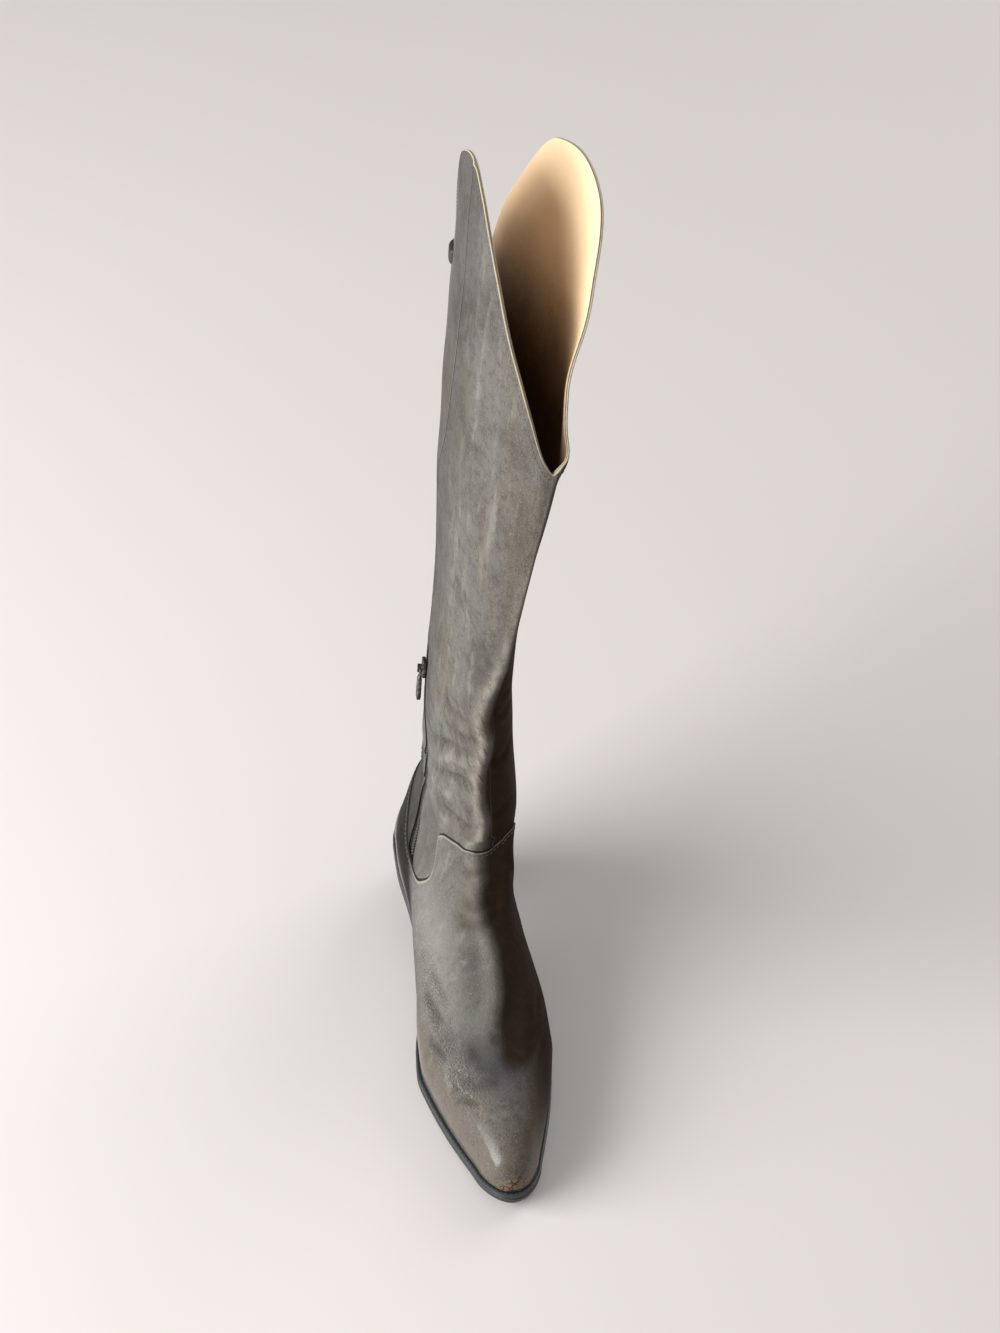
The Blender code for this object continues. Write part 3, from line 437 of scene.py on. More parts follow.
@dataclass
class Last:
    """The last: the outer form of the boot without its wall steps, folds and creases."""

    toe_y: float = -250.0
    seat_y: float = 26.0
    nose_round: float = 18.0
    nose_lead: float = 0.3
    seat_round: float = 27.0
    seat_round_gain: float = 34.0
    seat_climb: float = 28.0
    dome_root: float = 2.1
    dome_power: float = 2.2
    swell_height: float = 56.0
    lean_share: float = 0.8
    instep_blend: float = 40.0
    instep_lead: float = 6.0
    sag_share: float = 0.9
    ankle_turn: float = 0.15
    zip_angle: float = -105.0
    zip_hold: float = 12.0
    zip_fade: float = 42.0

    def __post_init__(self) -> None:
        """Make the curves through the tables."""
        self.line = tracks(OUTLINE, "y")
        self.ring = tracks(SECTIONS, "level")
        pairs = (SIDE_CURVE, COLLAR, OVERLAY, ZIP_PATH)
        self.welt_top, self.collar, self.overlay, self.zip_line = (Track(*zip(*p)) for p in pairs)
        self.ankle = next(ring for ring in SECTIONS if ring.level == 1.0)
        foot = np.linspace(0, 1, 201)
        self.front = (self.ring["front_y"](foot), self.ring["front_z"](foot))
        self.back = (self.ring["back_z"](foot), self.ring["back_y"](foot))

    def foot_half_width(self, y: Array, z: Array, outward: Array) -> Array:
        """Half width of the foot at a station y and height z.

        Ahead of the ankle the section is a dome under the instep line. Behind it the side leans
        from the feather line to the ankle ring. Both ends are quarter circles.
        """
        ankle = self.ankle
        bottom = self.welt_top(y)
        top = np.where(y < ankle.front_y, np.interp(y, *self.front), ankle.front_z)
        share = np.clip((z - bottom) / np.maximum(top - bottom, 1e-6), 0, 1)
        dome = (1 - share**self.dome_power) ** (1 / self.dome_root)
        behind = smooth((y - ankle.front_y + self.instep_lead) / self.instep_blend)
        keep = dome * (1 - behind) + (1 - smooth(share / self.lean_share)) * behind
        swell = np.where(outward > 0, self.line["outer_swell"](y), self.line["inner_swell"](y))
        swell = swell * np.sin(np.pi * np.clip((z - bottom) / self.swell_height, 0, 1))
        base = self.line["half"](y) + swell
        base = base * round_end(y - self.toe_y + self.nose_lead, self.nose_round)
        along = np.clip((y - ankle.front_y) / (ankle.back_y - ankle.front_y), 0, 1)
        ring = np.where(outward > 0, ankle.outer, ankle.inner) * round_end(along, ankle.nose)
        climb = smooth((z - SECTIONS[0].back_z) / self.seat_climb)
        seat = self.seat_round + self.seat_round_gain * climb
        back = np.interp(z, *self.back)
        return (base * keep + ring * (1 - keep)) * round_end(back - y, seat)

    def surface(self, angle: Array, level: Array) -> Array:
        """Points of the last at angles and levels.

        A ring runs from its front point to its back point by half the versine of the angle. On
        the shaft it stands off that line by its half width times the root of two rounded ends; on
        the foot it stands off by the half width of the foot at that station and height.
        """
        turn_angle = np.radians(angle)
        outward = np.where(np.sin(turn_angle) < 0, -1.0, 1.0)
        share = (1 - np.cos(turn_angle)) / 2
        at = {name: track(level) for name, track in self.ring.items()}
        run_x = at["back_x"] - at["front_x"]
        run_y = at["back_y"] - at["front_y"]
        nose = 1 - (1 - np.clip(share / at["nose"], 0, 1)) ** at["power"]
        seat = 1 - (1 - np.clip((1 - share) / at["seat"], 0, 1)) ** at["power"]
        half = np.where(outward > 0, at["outer"], at["inner"]) * np.sqrt(nose * seat)
        turn = smooth((np.maximum(level, 1) - 1) / self.ankle_turn)
        length = np.hypot(run_x, run_y)
        side_x = run_y / length * turn + 1 - turn
        side_y = -run_x / length * turn
        rise = at["front_z"] + share * (at["back_z"] - at["front_z"])
        chord = at["front_x"] + share * run_x
        shaft = (
            chord + outward * half * side_x,
            at["front_y"] + share * run_y + outward * half * side_y,
            rise,
        )
        feather_y = self.toe_y + share * (self.seat_y - self.toe_y)
        straight = self.welt_top(self.toe_y)
        straight = straight + share * (self.welt_top(self.seat_y) - straight)
        foot_y = at["front_y"] + share * run_y
        sag = (self.welt_top(feather_y) - straight) * (1 - smooth(level / self.sag_share))
        foot_z = rise + sag
        middle = self.line["middle"](foot_y) * (1 - smooth(level)) + chord * smooth(level)
        foot = (middle + outward * self.foot_half_width(foot_y, foot_z, outward), foot_y, foot_z)
        return np.stack([np.where(level < 1, f, s) for f, s in zip(foot, shaft)], axis=-1)

    def normal(self, angle: Array, level: Array) -> Array:
        """Outward unit normal: the cross product of small steps around and along the last."""
        low, high = (np.clip(level + step, 0.0, 2.0) for step in (-0.004, 0.004))
        around = self.surface(angle + 0.5, level) - self.surface(angle - 0.5, level)
        along = self.surface(angle, high) - self.surface(angle, low)
        return unit(np.cross(around, along))

    def feather(self, angle: Array, reach: float, ledge: float = 0.0) -> Array:
        """Loop of (x, y) around the feather line, let out by a reach and a share of the ledge.

        Its y runs from the toe to the seat by half the versine of the angle, and its half width
        is that of the feather line with both ends rounded.
        """
        turn_angle = np.radians(angle)
        outward = np.where(np.sin(turn_angle) < 0, -1.0, 1.0)
        toe_reach = reach + ledge * float(self.line["ledge"](self.toe_y))
        seat_reach = reach + ledge * float(self.line["ledge"](self.seat_y))
        toe = self.toe_y - toe_reach
        seat = self.seat_y + seat_reach
        y = toe + (1 - np.cos(turn_angle)) / 2 * (seat - toe)
        nose = round_end(y - toe, self.nose_round + toe_reach)
        ends = nose * round_end(seat - y, self.seat_round + seat_reach)
        half = (self.line["half"](y) + reach + ledge * self.line["ledge"](y)) * ends
        return np.stack([self.line["middle"](y) + outward * half, y], axis=-1)

    def drift(self, columns: Array, share: Array) -> Array:
        """Angles of columns at a share of the way up the wall, near the zip moved along its line.

        The move is the zip's angle there less its mean, whole near the zip and eased away to
        nothing over the columns beside it.
        """
        fade = 1 - smooth((abs(columns - self.zip_angle) - self.zip_hold) / self.zip_fade)
        return columns + (self.zip_line(share) - self.zip_angle) * fade

    def zip_at(self, level: Array) -> Array:
        """Angle of the line of the zip at levels above the overlay."""
        low = self.overlay(self.zip_line(0.0))
        high = self.collar(self.zip_line(1.0))
        return self.zip_line((level - low) / (high - low))

    def walk(
        self, angles: Sequence[float], levels: Sequence[float], count: int
    ) -> tuple[Array, Array]:
        """Angles and levels at equal shares along a path of given points.

        Args:
            angles: angle of each given point.
            levels: level of each given point.
            count: how many points to return.

        Returns:
            The angles and the levels, smooth between the given points.
        """
        given = np.linspace(0, 1, len(angles))
        share = np.linspace(0, 1, count)
        return Track(given, angles)(share), Track(given, levels)(share)


@dataclass
class Relief:
    """Folds and creases of the worn leather, as a height above the last."""

    last: Last
    folds: tuple[Fold, ...] = FOLDS
    creases: tuple[Crease, ...] = CREASES
    crest_wide: float = 9.0
    hollow_wide: float = 17.0
    hollow_shift: float = 25.0
    slack: float = 0.35
    slack_waves: int = 14
    slack_pitch: tuple[float, float, float] = (0.09, 0.09, 0.045)
    slack_from: float = 0.45
    slack_run: float = 0.6
    path_points: int = 24
    seed: int = 7

    def __post_init__(self) -> None:
        """Make the curves of the crest."""
        self.crest = tracks(CREST, "level")

    def fold_height(self, angle: Array, level: Array) -> Array:
        """Sum of the broad forms: height times exp(-(d angle / wide)^2 - (d level / tall)^2)."""
        total = np.zeros(np.broadcast(angle, level).shape)
        for fold in self.folds:
            across = turned(angle - fold.angle) / fold.wide
            total = total + fold.height * bell(across, (level - fold.level) / fold.tall)
        return total + self.crest_height(angle, level)

    def from_crest(self, angle: Array, level: Array) -> Array:
        """Angle from the front crest at each level, positive on the outer side."""
        return turned(angle - self.crest["angle"](level))

    def crest_height(self, angle: Array, level: Array) -> Array:
        """The front crest and the hollow beside it.

        At an angle a from the crest it is height * exp(-(a / wide)^2) less
        hollow * exp(-((a - shift) / hollow wide)^2).
        """
        away = self.from_crest(angle, level)
        hollow = bell((away - self.hollow_shift) / self.hollow_wide)
        height = self.crest["height"](level) * bell(away / self.crest_wide)
        return height - self.crest["hollow"](level) * hollow

    def slack_height(self, points: Array, level: Array) -> Array:
        """Gentle waviness of the shaft: a sum of seeded sine waves across the points."""
        source = np.random.default_rng(self.seed)
        waves = source.normal(size=(self.slack_waves, 3)) * self.slack_pitch
        phases = source.uniform(0, 2 * np.pi, self.slack_waves)
        total = np.sin(points @ waves.T + phases).sum(-1) / math.sqrt(self.slack_waves / 2)
        return total * self.slack * smooth((level - self.slack_from) / self.slack_run)

    def crease_height(self, points: Array) -> tuple[Array, Array, Array]:
        """Narrow forms at points of the last.

        At a distance of d widths from a crease's path it is height * (1 - lip d^2) exp(-d^2), which
        dies away over the last quarter of the path at both ends.

        Args:
            points: points of the last, in millimetres.

        Returns:
            The height, the strength of the troughs and the strength of the ridges.
        """
        flat = points.reshape(-1, 3)
        total, trough, ridge = np.zeros((3, len(flat)))
        for crease in self.creases:
            path = self.last.surface(*self.last.walk(*zip(*crease.path), self.path_points))
            reach = 4 * crease.width
            inside = np.all((flat > path.min(0) - reach) & (flat < path.max(0) + reach), axis=1)
            near = flat[inside]
            start = path[:-1]
            run = path[1:] - start
            t = np.einsum("nsk,sk->ns", near[:, None] - start, run) / np.sum(run * run, -1)
            t = np.clip(t, 0, 1)
            gap = np.linalg.norm(near[:, None] - start - t[..., None] * run, axis=-1)
            piece = np.argmin(gap, axis=1)
            nearest = gap[np.arange(len(near)), piece] / crease.width
            along = (piece + t[np.arange(len(near)), piece]) / len(run)
            fade = smooth(along / 0.25) * smooth((1 - along) / 0.25)
            share = bell(nearest) * fade
            total[inside] += crease.height * (1 - crease.lip * nearest**2) * share
            strength = trough if crease.height < 0 else ridge
            strength[inside] = np.maximum(strength[inside], share * min(1.0, abs(crease.height)))
        shape = points.shape[:-1]
        return total.reshape(shape), trough.reshape(shape), ridge.reshape(shape)

    def lift(self, base: Array, angle: Array, level: Array) -> tuple[Array, Array, Array]:
        """Whole height above the last, with the strengths of the troughs and of the ridges."""
        creases, trough, ridge = self.crease_height(base)
        height = self.fold_height(angle, level) + creases + self.slack_height(base, level)
        return height, trough, ridge

    def under(self, angle: Array, level: Array, depth: float) -> tuple[Array, Array]:
        """Points at a depth under the worn surface of the last, with the normals there."""
        base = self.last.surface(angle, level)
        normal = self.last.normal(angle, level)
        height = self.lift(base, angle, level)[0]
        return base + normal * (height - depth)[..., None], normal


# ---------------------------------------------------------------------------------------------
# Meshes
# ---------------------------------------------------------------------------------------------


def grid_quads(rows: int, columns: int, wrap_rows: bool = False) -> Array:
    """Quads of a grid of rows by columns, each as four point numbers.

    Point (r, c) has number r * columns + c. A quad joins rows r and r + 1 and columns c and c + 1;
    the columns are wrapped around, and the rows where asked.
    """
    row = np.arange(rows if wrap_rows else rows - 1)[:, None]
    column = np.arange(columns)[None, :]
    above = (row + 1) % rows
    beside = (column + 1) % columns
    corners = ((row, column), (row, beside), (above, beside), (above, column))
    quads = [r * columns + c for r, c in corners]
    return np.stack(np.broadcast_arrays(*quads), -1).reshape(-1, 4)


def cap_quads(first: int, count: int, flip: bool) -> Array:
    """Strips across a closed loop of even count, from each column to its mirror column.

    Strip k joins points k and k + 1 to count - k - 1 and count - k. The two end strips are
    triangles, written as quads with their first point twice and cleaned by the mesh maker.
    """
    step = np.arange(count // 2)
    left = first + step
    right = first + (count - step) % count
    quads = np.stack([left, left + 1, first + (count - step - 1) % count, right], -1)
    return quads[:, ::-1] if flip else quads


class Maker:
    """Puts arrays of points and quads into meshes of the scene."""

    @staticmethod
    def mesh(
        name: str, points: Array, quads: Array, material: bpy.types.Material
    ) -> bpy.types.Object:
        """Return a smooth mesh object at the origin.

        Args:
            name: name of the piece.
            points: points in millimetres.
            quads: four point numbers a face; a repeated one makes a triangle.
            material: finish of the piece.

        Returns:
            The object, linked to the scene.
        """
        data = bpy.data.meshes.new(name)
        thin = (quads == np.roll(quads, -1, axis=1)).any(1)
        faces = quads[~thin].tolist() + [list(dict.fromkeys(q)) for q in quads[thin].tolist()]
        faces = [face for face in faces if len(face) > 2]
        data.from_pydata((points.reshape(-1, 3) * MM).tolist(), [], faces)
        data.materials.append(material)
        data.shade_smooth()
        data.validate()
        made = bpy.data.objects.new(name, data)
        bpy.context.scene.collection.objects.link(made)
        return made

    @staticmethod
    def field(thing: bpy.types.Object, name: str, values: Array) -> None:
        """Store one number a point as an attribute that materials read."""
        layer = thing.data.attributes.new(name, "FLOAT", "POINT")
        layer.data.foreach_set("value", np.asarray(values, dtype=np.float32).ravel())

    @staticmethod
    def loft(
        name: str,
        loops: Sequence[Array],
        material: bpy.types.Material,
        closed: bool = False,
        sharp: float = 40.0,
    ) -> bpy.types.Object:
        """Return a solid through loops of equal count, which run the same way as the last's angles.

        Args:
            name: name of the piece.
            loops: loops of points in millimetres, from the outside top downwards and inwards.
            material: finish of the piece.
            closed: whether the last loop joins the first, as in a ring, or both ends are capped.
            sharp: edges steeper than this angle stay crisp.

        Returns:
            The object, its faces outwards.
        """
        count = len(loops[0])
        quads = grid_quads(len(loops), count, wrap_rows=closed)
        if not closed:
            low = (len(loops) - 1) * count
            quads = np.concatenate([quads, cap_quads(0, count, True), cap_quads(low, count, False)])
        made = Maker.mesh(name, np.concatenate(loops), quads, material)
        Maker.outwards(made)
        made.data.set_sharp_from_angle(angle=math.radians(sharp))
        return made

    @staticmethod
    def strip(name: str, front: Array, back: Array, material: bpy.types.Material) -> Any:
        """Return a closed strip between a front and a back grid of points.

        Its rings run across the front and back again behind, and each end is closed by quads from
        one face to the other.
        """
        points = np.concatenate([front, back[:, ::-1]], axis=1)
        rings, count = points.shape[:2]
        step = np.arange(count // 2 - 1)
        corners = (step, step + 1, count - 2 - step, count - 1 - step)
        end = np.stack(corners, -1)
        caps = [end[:, ::-1], (rings - 1) * count + end]
        quads = np.concatenate([grid_quads(rings, count), *caps])
        made = Maker.mesh(name, points, quads, material)
        Maker.outwards(made)
        return made

    @staticmethod
    def copies(block: Array, quads: Array, centres: Array, frames: Array) -> tuple[Array, Array]:
        """Return points and quads of copies of a block at centres, along the rows of frames."""
        points = centres[:, None] + np.einsum("pk,nkd->npd", block, frames)
        shift = np.arange(len(centres))[:, None, None] * len(block)
        return points.reshape(-1, 3), (quads[None] + shift).reshape(-1, 4)

    @staticmethod
    def outwards(thing: bpy.types.Object) -> None:
        """Turn a closed mesh inside out where its signed volume is below zero."""
        data = thing.data
        data.calc_loop_triangles()
        points = np.empty(len(data.vertices) * 3)
        data.vertices.foreach_get("co", points)
        corners = np.empty(len(data.loop_triangles) * 3, dtype=np.int64)
        data.loop_triangles.foreach_get("vertices", corners)
        a, b, c = points.reshape(-1, 3)[corners.reshape(-1, 3)].transpose(1, 0, 2)
        if np.einsum("nk,nk->", a, np.cross(b, c)) < 0:
            data.flip_normals()


def with_height(loop: Array, z: Array | float) -> Array:
    """Loop of (x, y) given its heights."""
    return np.column_stack([loop, np.broadcast_to(z, len(loop))])


def mount(made: bpy.types.Object, replaced: str = "", body: Body = Body.BOOT) -> None:
    """Ride a piece on a body, and hide the node that it replaces where one is named."""
    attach(made, body.value)
    if replaced:
        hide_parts(replaced)


class Line:
    """A path of points that is sampled by the distance along it, in millimetres."""

    def __init__(self, path: Array) -> None:
        """Work out the distance of each point along the path."""
        self.path = path
        gaps = np.linalg.norm(np.diff(path, axis=0), axis=-1)
        self.far = np.concatenate([[0.0], np.cumsum(gaps)])

    def at(self, places: Array, values: Array | None = None) -> Array:
        """Points, or other vectors given along the path, at distances along it."""
        values = self.path if values is None else values
        return np.stack([np.interp(places, self.far, values[:, k]) for k in range(3)], -1)


# ---------------------------------------------------------------------------------------------
# Shader expressions
# ---------------------------------------------------------------------------------------------


def operator(operation: str, reflected: bool = False) -> Callable[..., "Signal"]:
    """Return a method of Signal that adds a Math node.

    Args:
        operation: what the node works out.
        reflected: whether the signal stands on the right.

    Returns:
        The method.
    """

    def method(self: "Signal", other: Any = 0.0) -> "Signal":
        """Add the node."""
        sides = (other, self) if reflected else (self, other)
        return self.sheet.math(operation, *sides)

    return method


class Signal:
    """The output of a node, used in Python expressions."""

    def __init__(self, sheet: "Sheet", socket: bpy.types.NodeSocket) -> None:
        """Wrap a socket of a sheet."""
        self.sheet = sheet
        self.socket = socket

    __add__, __radd__ = operator("ADD"), operator("ADD", True)
    __sub__, __rsub__ = operator("SUBTRACT"), operator("SUBTRACT", True)
    __mul__, __rmul__ = operator("MULTIPLY"), operator("MULTIPLY", True)
    __truediv__ = operator("DIVIDE")
    __abs__ = operator("ABSOLUTE")


class Sheet:
    """One material's node tree."""

    def __init__(self, name: str) -> None:
        """Start a material with its Principled shader."""
        self.material = bpy.data.materials.new(name)
        self.material.use_nodes = True
        self.tree = self.material.node_tree
        self.shader = self.tree.nodes["Principled BSDF"]

    def node(
        self,
        kind: str,
        settings: dict[str, Any] | None = None,
        inputs: dict[Any, Any] | None = None,
        output: str | int = 0,
    ) -> Signal:
        """Add a node.

        Args:
            kind: type of the node.
            settings: its settings, set first.
            inputs: values or signals of its sockets, by name or number.
            output: the socket to return, by name or number.

        Returns:
            The chosen output.
        """
        made = self.tree.nodes.new(kind)
        for name, value in (settings or {}).items():
            setattr(made, name, value)
        for name, value in (inputs or {}).items():
            if isinstance(value, Signal):
                self.tree.links.new(value.socket, made.inputs[name])
            else:
                made.inputs[name].default_value = value
        return Signal(self, made.outputs[output])

    def math(self, operation: str, first: Any, second: Any = 0.0) -> Signal:
        """Return a Math node of two values or signals."""
        return self.node("ShaderNodeMath", {"operation": operation}, {0: first, 1: second})

    def place(self) -> Signal:
        """Return the point's own coordinates on the boot, in metres."""
        return self.node("ShaderNodeTexCoord", output="Object")

    def read(self, name: str) -> Signal:
        """Return an attribute of the mesh."""
        return self.node("ShaderNodeAttribute", {"attribute_name": name}, output="Fac")

    def stretched(self, *scale: float) -> Signal:
        """Return the coordinates scaled along each axis."""
        return self.node("ShaderNodeMapping", None, {"Vector": self.place(), "Scale": scale})

    def noise(
        self, place: Signal, scale: float, detail: float = 3.0, rough: float = 0.55
    ) -> Signal:
        """Return soft noise from 0 to 1 with features of 1 / scale metres."""
        inputs = {"Vector": place, "Scale": scale, "Detail": detail, "Roughness": rough}
        return self.node("ShaderNodeTexNoise", None, inputs, "Fac")

    def cells(self, place: Signal, scale: float, feature: str = "F1") -> Signal:
        """Return the distance field of a cell pattern."""
        inputs = {"Vector": place, "Scale": scale}
        return self.node("ShaderNodeTexVoronoi", {"feature": feature}, inputs, "Distance")

    def step(self, value: Signal, low: float, high: float) -> Signal:
        """Return a soft step, 0 below low and 1 above high."""
        inputs = {0: value, 1: low, 2: high, 3: 0.0, 4: 1.0}
        return self.node("ShaderNodeMapRange", {"interpolation_type": "SMOOTHSTEP"}, inputs)

    def line(self, distance: Signal, middle: float, half: float, soft: float) -> Signal:
        """Return a line: 1 within a half width of a distance, 0 past its soft edge."""
        return 1 - self.step(abs(distance - middle), half, half + soft)

    def mix(self, first: Any, second: Any, factor: Any) -> Signal:
        """Return a blend of two colours."""
        settings = {"data_type": "RGBA", "blend_type": "MIX", "clamp_factor": True}
        sides = [(*side, 1.0) if isinstance(side, tuple) else side for side in (first, second)]
        return self.node("ShaderNodeMix", settings, {0: factor, 6: sides[0], 7: sides[1]}, 2)

    def layers(self, ground: Any, *layers: tuple[Any, Any]) -> Signal:
        """Return a colour with layers of (colour, share) laid over it in turn."""
        for colour, share in layers:
            ground = self.mix(ground, colour, share)
        return ground

    def skin_noise(self) -> tuple[Signal, Signal, Signal]:
        """Return the coordinates, with the broad and the fine mottling of a plain skin."""
        place = self.place()
        return place, self.noise(place, 38.0, 4.0, 0.6), self.noise(place, 260.0, 4.0, 0.65)

    def finish(
        self,
        tone: Signal,
        height: Signal | None = None,
        depth: float = 0.0,
        fixed: dict[str, float] | None = None,
        **linked: Signal,
    ) -> bpy.types.Material:
        """Set the shader's sockets.

        Args:
            tone: the colour.
            height: what bumps the surface, if anything.
            depth: depth of the bump in metres.
            fixed: numbers that are the same all over, by the names of their sockets.
            linked: signals of what else varies, their sockets' names with _ for each space.

        Returns:
            The material.
        """
        sockets = self.shader.inputs
        for name, value in (fixed or {}).items():
            sockets[name].default_value = value
        linked["Base_Color"] = tone
        if height is not None:
            inputs = {"Height": height, "Distance": depth, "Strength": 1.0}
            linked["Normal"] = self.node("ShaderNodeBump", None, inputs, "Normal")
        for name, signal in linked.items():
            self.tree.links.new(signal.socket, sockets[name.replace("_", " ")])
        return self.material


@dataclass(frozen=True)
class Leather:
    """Waxed leather of the outside: mottled grey-taupe, browner on the foot, worn at its edges."""

    grey: Colour = (0.116, 0.112, 0.104)
    pale: Colour = (0.250, 0.240, 0.218)
    shade: Colour = (0.052, 0.047, 0.043)
    warm: Colour = (0.110, 0.092, 0.071)
    # Paler tone of the front crest, where rubbed and by painted light.
    crest: Colour = (0.275, 0.252, 0.210)
    foot: Colour = (0.100, 0.081, 0.062)
    # Colours of the painted shade on the outer side: dark brown, and a lighter brown for its patches and
    # fade.
    outer: Colour = (0.022, 0.0125, 0.0065)
    outer_worn: Colour = (0.078, 0.056, 0.039)
    # Slate tint of the painted shade across the hollow of the ball.
    slate: Colour = (0.046, 0.046, 0.052)
    tan: Colour = (0.20, 0.135, 0.075)
    # dark: cracks, nick and seam joints, and the painted shade of the counter and at the foot of the
    # overlay's edge.
    dark: Colour = (0.012, 0.009, 0.007)
    raw: Colour = (0.33, 0.305, 0.255)
    sheen: float = 0.08
    coat_roughness: float = 0.21
    depth: float = 0.00032

    def pleats(self, sheet: Sheet) -> Signal:
        """Return the slanting pleats of the ankle: ridges where a stretched noise is near half."""
        turn, rise = sheet.read("turn_mm"), sheet.read("rise_mm")
        inputs = {0: (turn + rise * 0.8) * 0.026, 1: (rise * 0.62 - turn) * 0.006}
        slant = sheet.node("ShaderNodeCombineXYZ", None, inputs)
        pleat = 1 - abs(sheet.noise(slant, 4.4, 1.6, 0.45) - 0.5) * 7.0
        return sheet.step(pleat, 0.0, 1.0) * sheet.read("ankle")

    def build(self) -> bpy.types.Material:
        """Return the material.

        Colour: a mottled grey with warm and pale upright streaks, browner below the instep, with
        a front crest paler where rubbed and by painted light, painted shade over the outer side,
        the toe's outer side, the counter, the big-toe side of the shaft and the recess above the
        overlay by the zip, painted shade in a slate tint across the hollow of the ball, and a
        scuffed toe. Seams are darker; troughs are darker by painted shade, with a painted shadow
        at the foot of the overlay's edge; ridges are paler by wear and painted highlight, and the
        raw edge of the overlay is paler.
        Height: pebbled grain, fine creasing along the foot, crackle on the vamp and pleats at the
        ankle. The foot is polished, the outer side dull.
        """
        sheet = Sheet("leather_outside")
        place, step, read = sheet.place(), sheet.step, sheet.read
        names = ("level", "edge_mm", "seam_mm", "outer", "flank", "side", "counter", "tip")
        level, edge, seam, outer, flank, side, counter, tip = map(read, names)
        mottle = sheet.noise(place, 26.0, 6.0, 0.66)
        band = sheet.noise(sheet.stretched(1.0, 1.0, 0.25), 34.0, 5.0, 0.62)
        streak = sheet.noise(sheet.stretched(1.0, 1.0, 0.16), 150.0, 5.0, 0.6)
        dapple = sheet.noise(place, 190.0, 5.0, 0.7)
        speck = sheet.noise(place, 1150.0, 2.0, 0.5)
        on_foot = 1 - step(level, 0.14, 0.42)
        rubbed = step(dapple + mottle, 0.84, 1.16)
        crackle = sheet.cells(place, 430.0, "DISTANCE_TO_EDGE")
        fleck = (1 - step(crackle, 0.02, 0.15)) * flank * step(dapple, 0.40, 0.56)
        pleat = self.pleats(sheet)
        # Painted shade of the outer side: dark brown, lightened in patches and further round towards the
        # side and back.
        worn = step(dapple + mottle, 0.92, 1.20) * (0.15 + side * 0.75)
        outer_shade_tone = sheet.mix(self.outer, self.outer_worn, worn + side * (0.10 + mottle * 0.5))
        scuff = tip * step(sheet.noise(place, 260.0, 6.0, 0.75) + tip * 0.16, 0.56, 0.66)
        chips = sheet.cells(place, 300.0, "DISTANCE_TO_EDGE")
        crack = tip * (1 - step(chips, 0.03, 0.10)) * step(dapple, 0.44, 0.56)
        raw = sheet.line(edge, -0.60, 0.30, 0.28) * (0.20 + dapple * 0.80)
        joint = sheet.line(seam, 0.0, 0.24, 0.25)
        tone = sheet.layers(
            self.grey,
            (self.shade, step(mottle, 0.46, 0.66) * 0.70),
            (self.warm, step(band, 0.48, 0.64) * 0.62),
            (self.pale, step(streak, 0.50, 0.72) * (0.08 + mottle * 0.62)),
            (self.foot, on_foot * (0.55 + mottle * 0.5)),
            (self.shade, step(dapple, 0.48, 0.66) * 0.50),
            (self.pale, step(speck, 0.56, 0.68) * 0.34),
            # Painted shade down the big-toe side of the shaft and in the recess above the overlay by the
            # zip.
            (self.shade, read("shin_shade") * (0.18 + mottle * 0.75)),
            (self.pale, read("instep") * (0.16 + dapple * 0.75)),
            # Front crest, paler where rubbed and by painted light.
            (self.crest, read("crest") * (0.06 + rubbed * 0.58)),
            # Painted shade over the outer side of the toe.
            (self.outer_worn, read("toe_side_shade") * 0.7),
            # Painted shade across the hollow of the ball, in a slate tint.
            (self.slate, read("ball") * (0.38 + mottle * 1.05)),
            (self.pale, fleck * 0.85),
            # Painted shade in the troughs of the creases.
            (self.shade, read("trough") * (0.25 + dapple * 0.6)),
            # Ridges of the creases, paler by wear and painted highlight.
            (self.pale, read("ridge") * step(streak, 0.30, 0.60) * 0.55),
            (self.pale, pleat * (0.02 + dapple * 0.30)),
            # Painted shade over the outer side.
            (outer_shade_tone, outer * (0.84 + mottle * 0.26)),
            # Painted shade over the counter behind the zip.
            (self.dark, counter * (0.66 + mottle * 0.5)),
            (self.tan, scuff * 0.6),
            (self.dark, crack * 0.85),
            # Raw edge of the overlay, dimmed under the painted shade of the outer side and the counter.
            (self.raw, raw * (1 - outer * 0.55) * (1 - counter * 0.75)),
            # Painted shadow along the foot of the overlay's edge.
            (self.dark, sheet.line(edge, 0.45, 0.36, 0.32) * 0.9),
            (self.dark, read("nick") * 0.92),
            (self.dark, joint * 0.92),
            (self.pale, sheet.line(seam, -1.2, 0.35, 0.5) * 0.55 * (1 - outer * 0.7)),
        )
        lines = sheet.noise(sheet.stretched(0.35, 1.0, 1.0), 520.0, 3.0, 0.6)
        height = sheet.cells(place, 950.0) * 0.5 + speck * 0.25 + lines * (0.45 + on_foot * 0.4)
        height = height + step(crackle, 0.0, 0.16) * flank * 1.8 - joint * 1.2 - crack * 1.2
        height = height + sheet.noise(place, 60.0, 4.0, 0.6) * 2.4 + pleat * 1.7
        polish = 1 - step(level, 0.12, 0.30)
        rough = 0.54 + mottle * 0.12 + dapple * 0.12 + outer * 0.10 - polish * 0.14
        coat = polish * (1.0 - scuff * 0.8) * (0.6 + dapple * 0.6) * (1 - outer * 0.88)
        return sheet.finish(
            tone,
            height,
            self.depth,
            {"Specular IOR Level": self.sheen, "Coat Roughness": self.coat_roughness},
            Roughness=rough + scuff * 0.25 + fleck * 0.1,
            Coat_Weight=coat,
        )


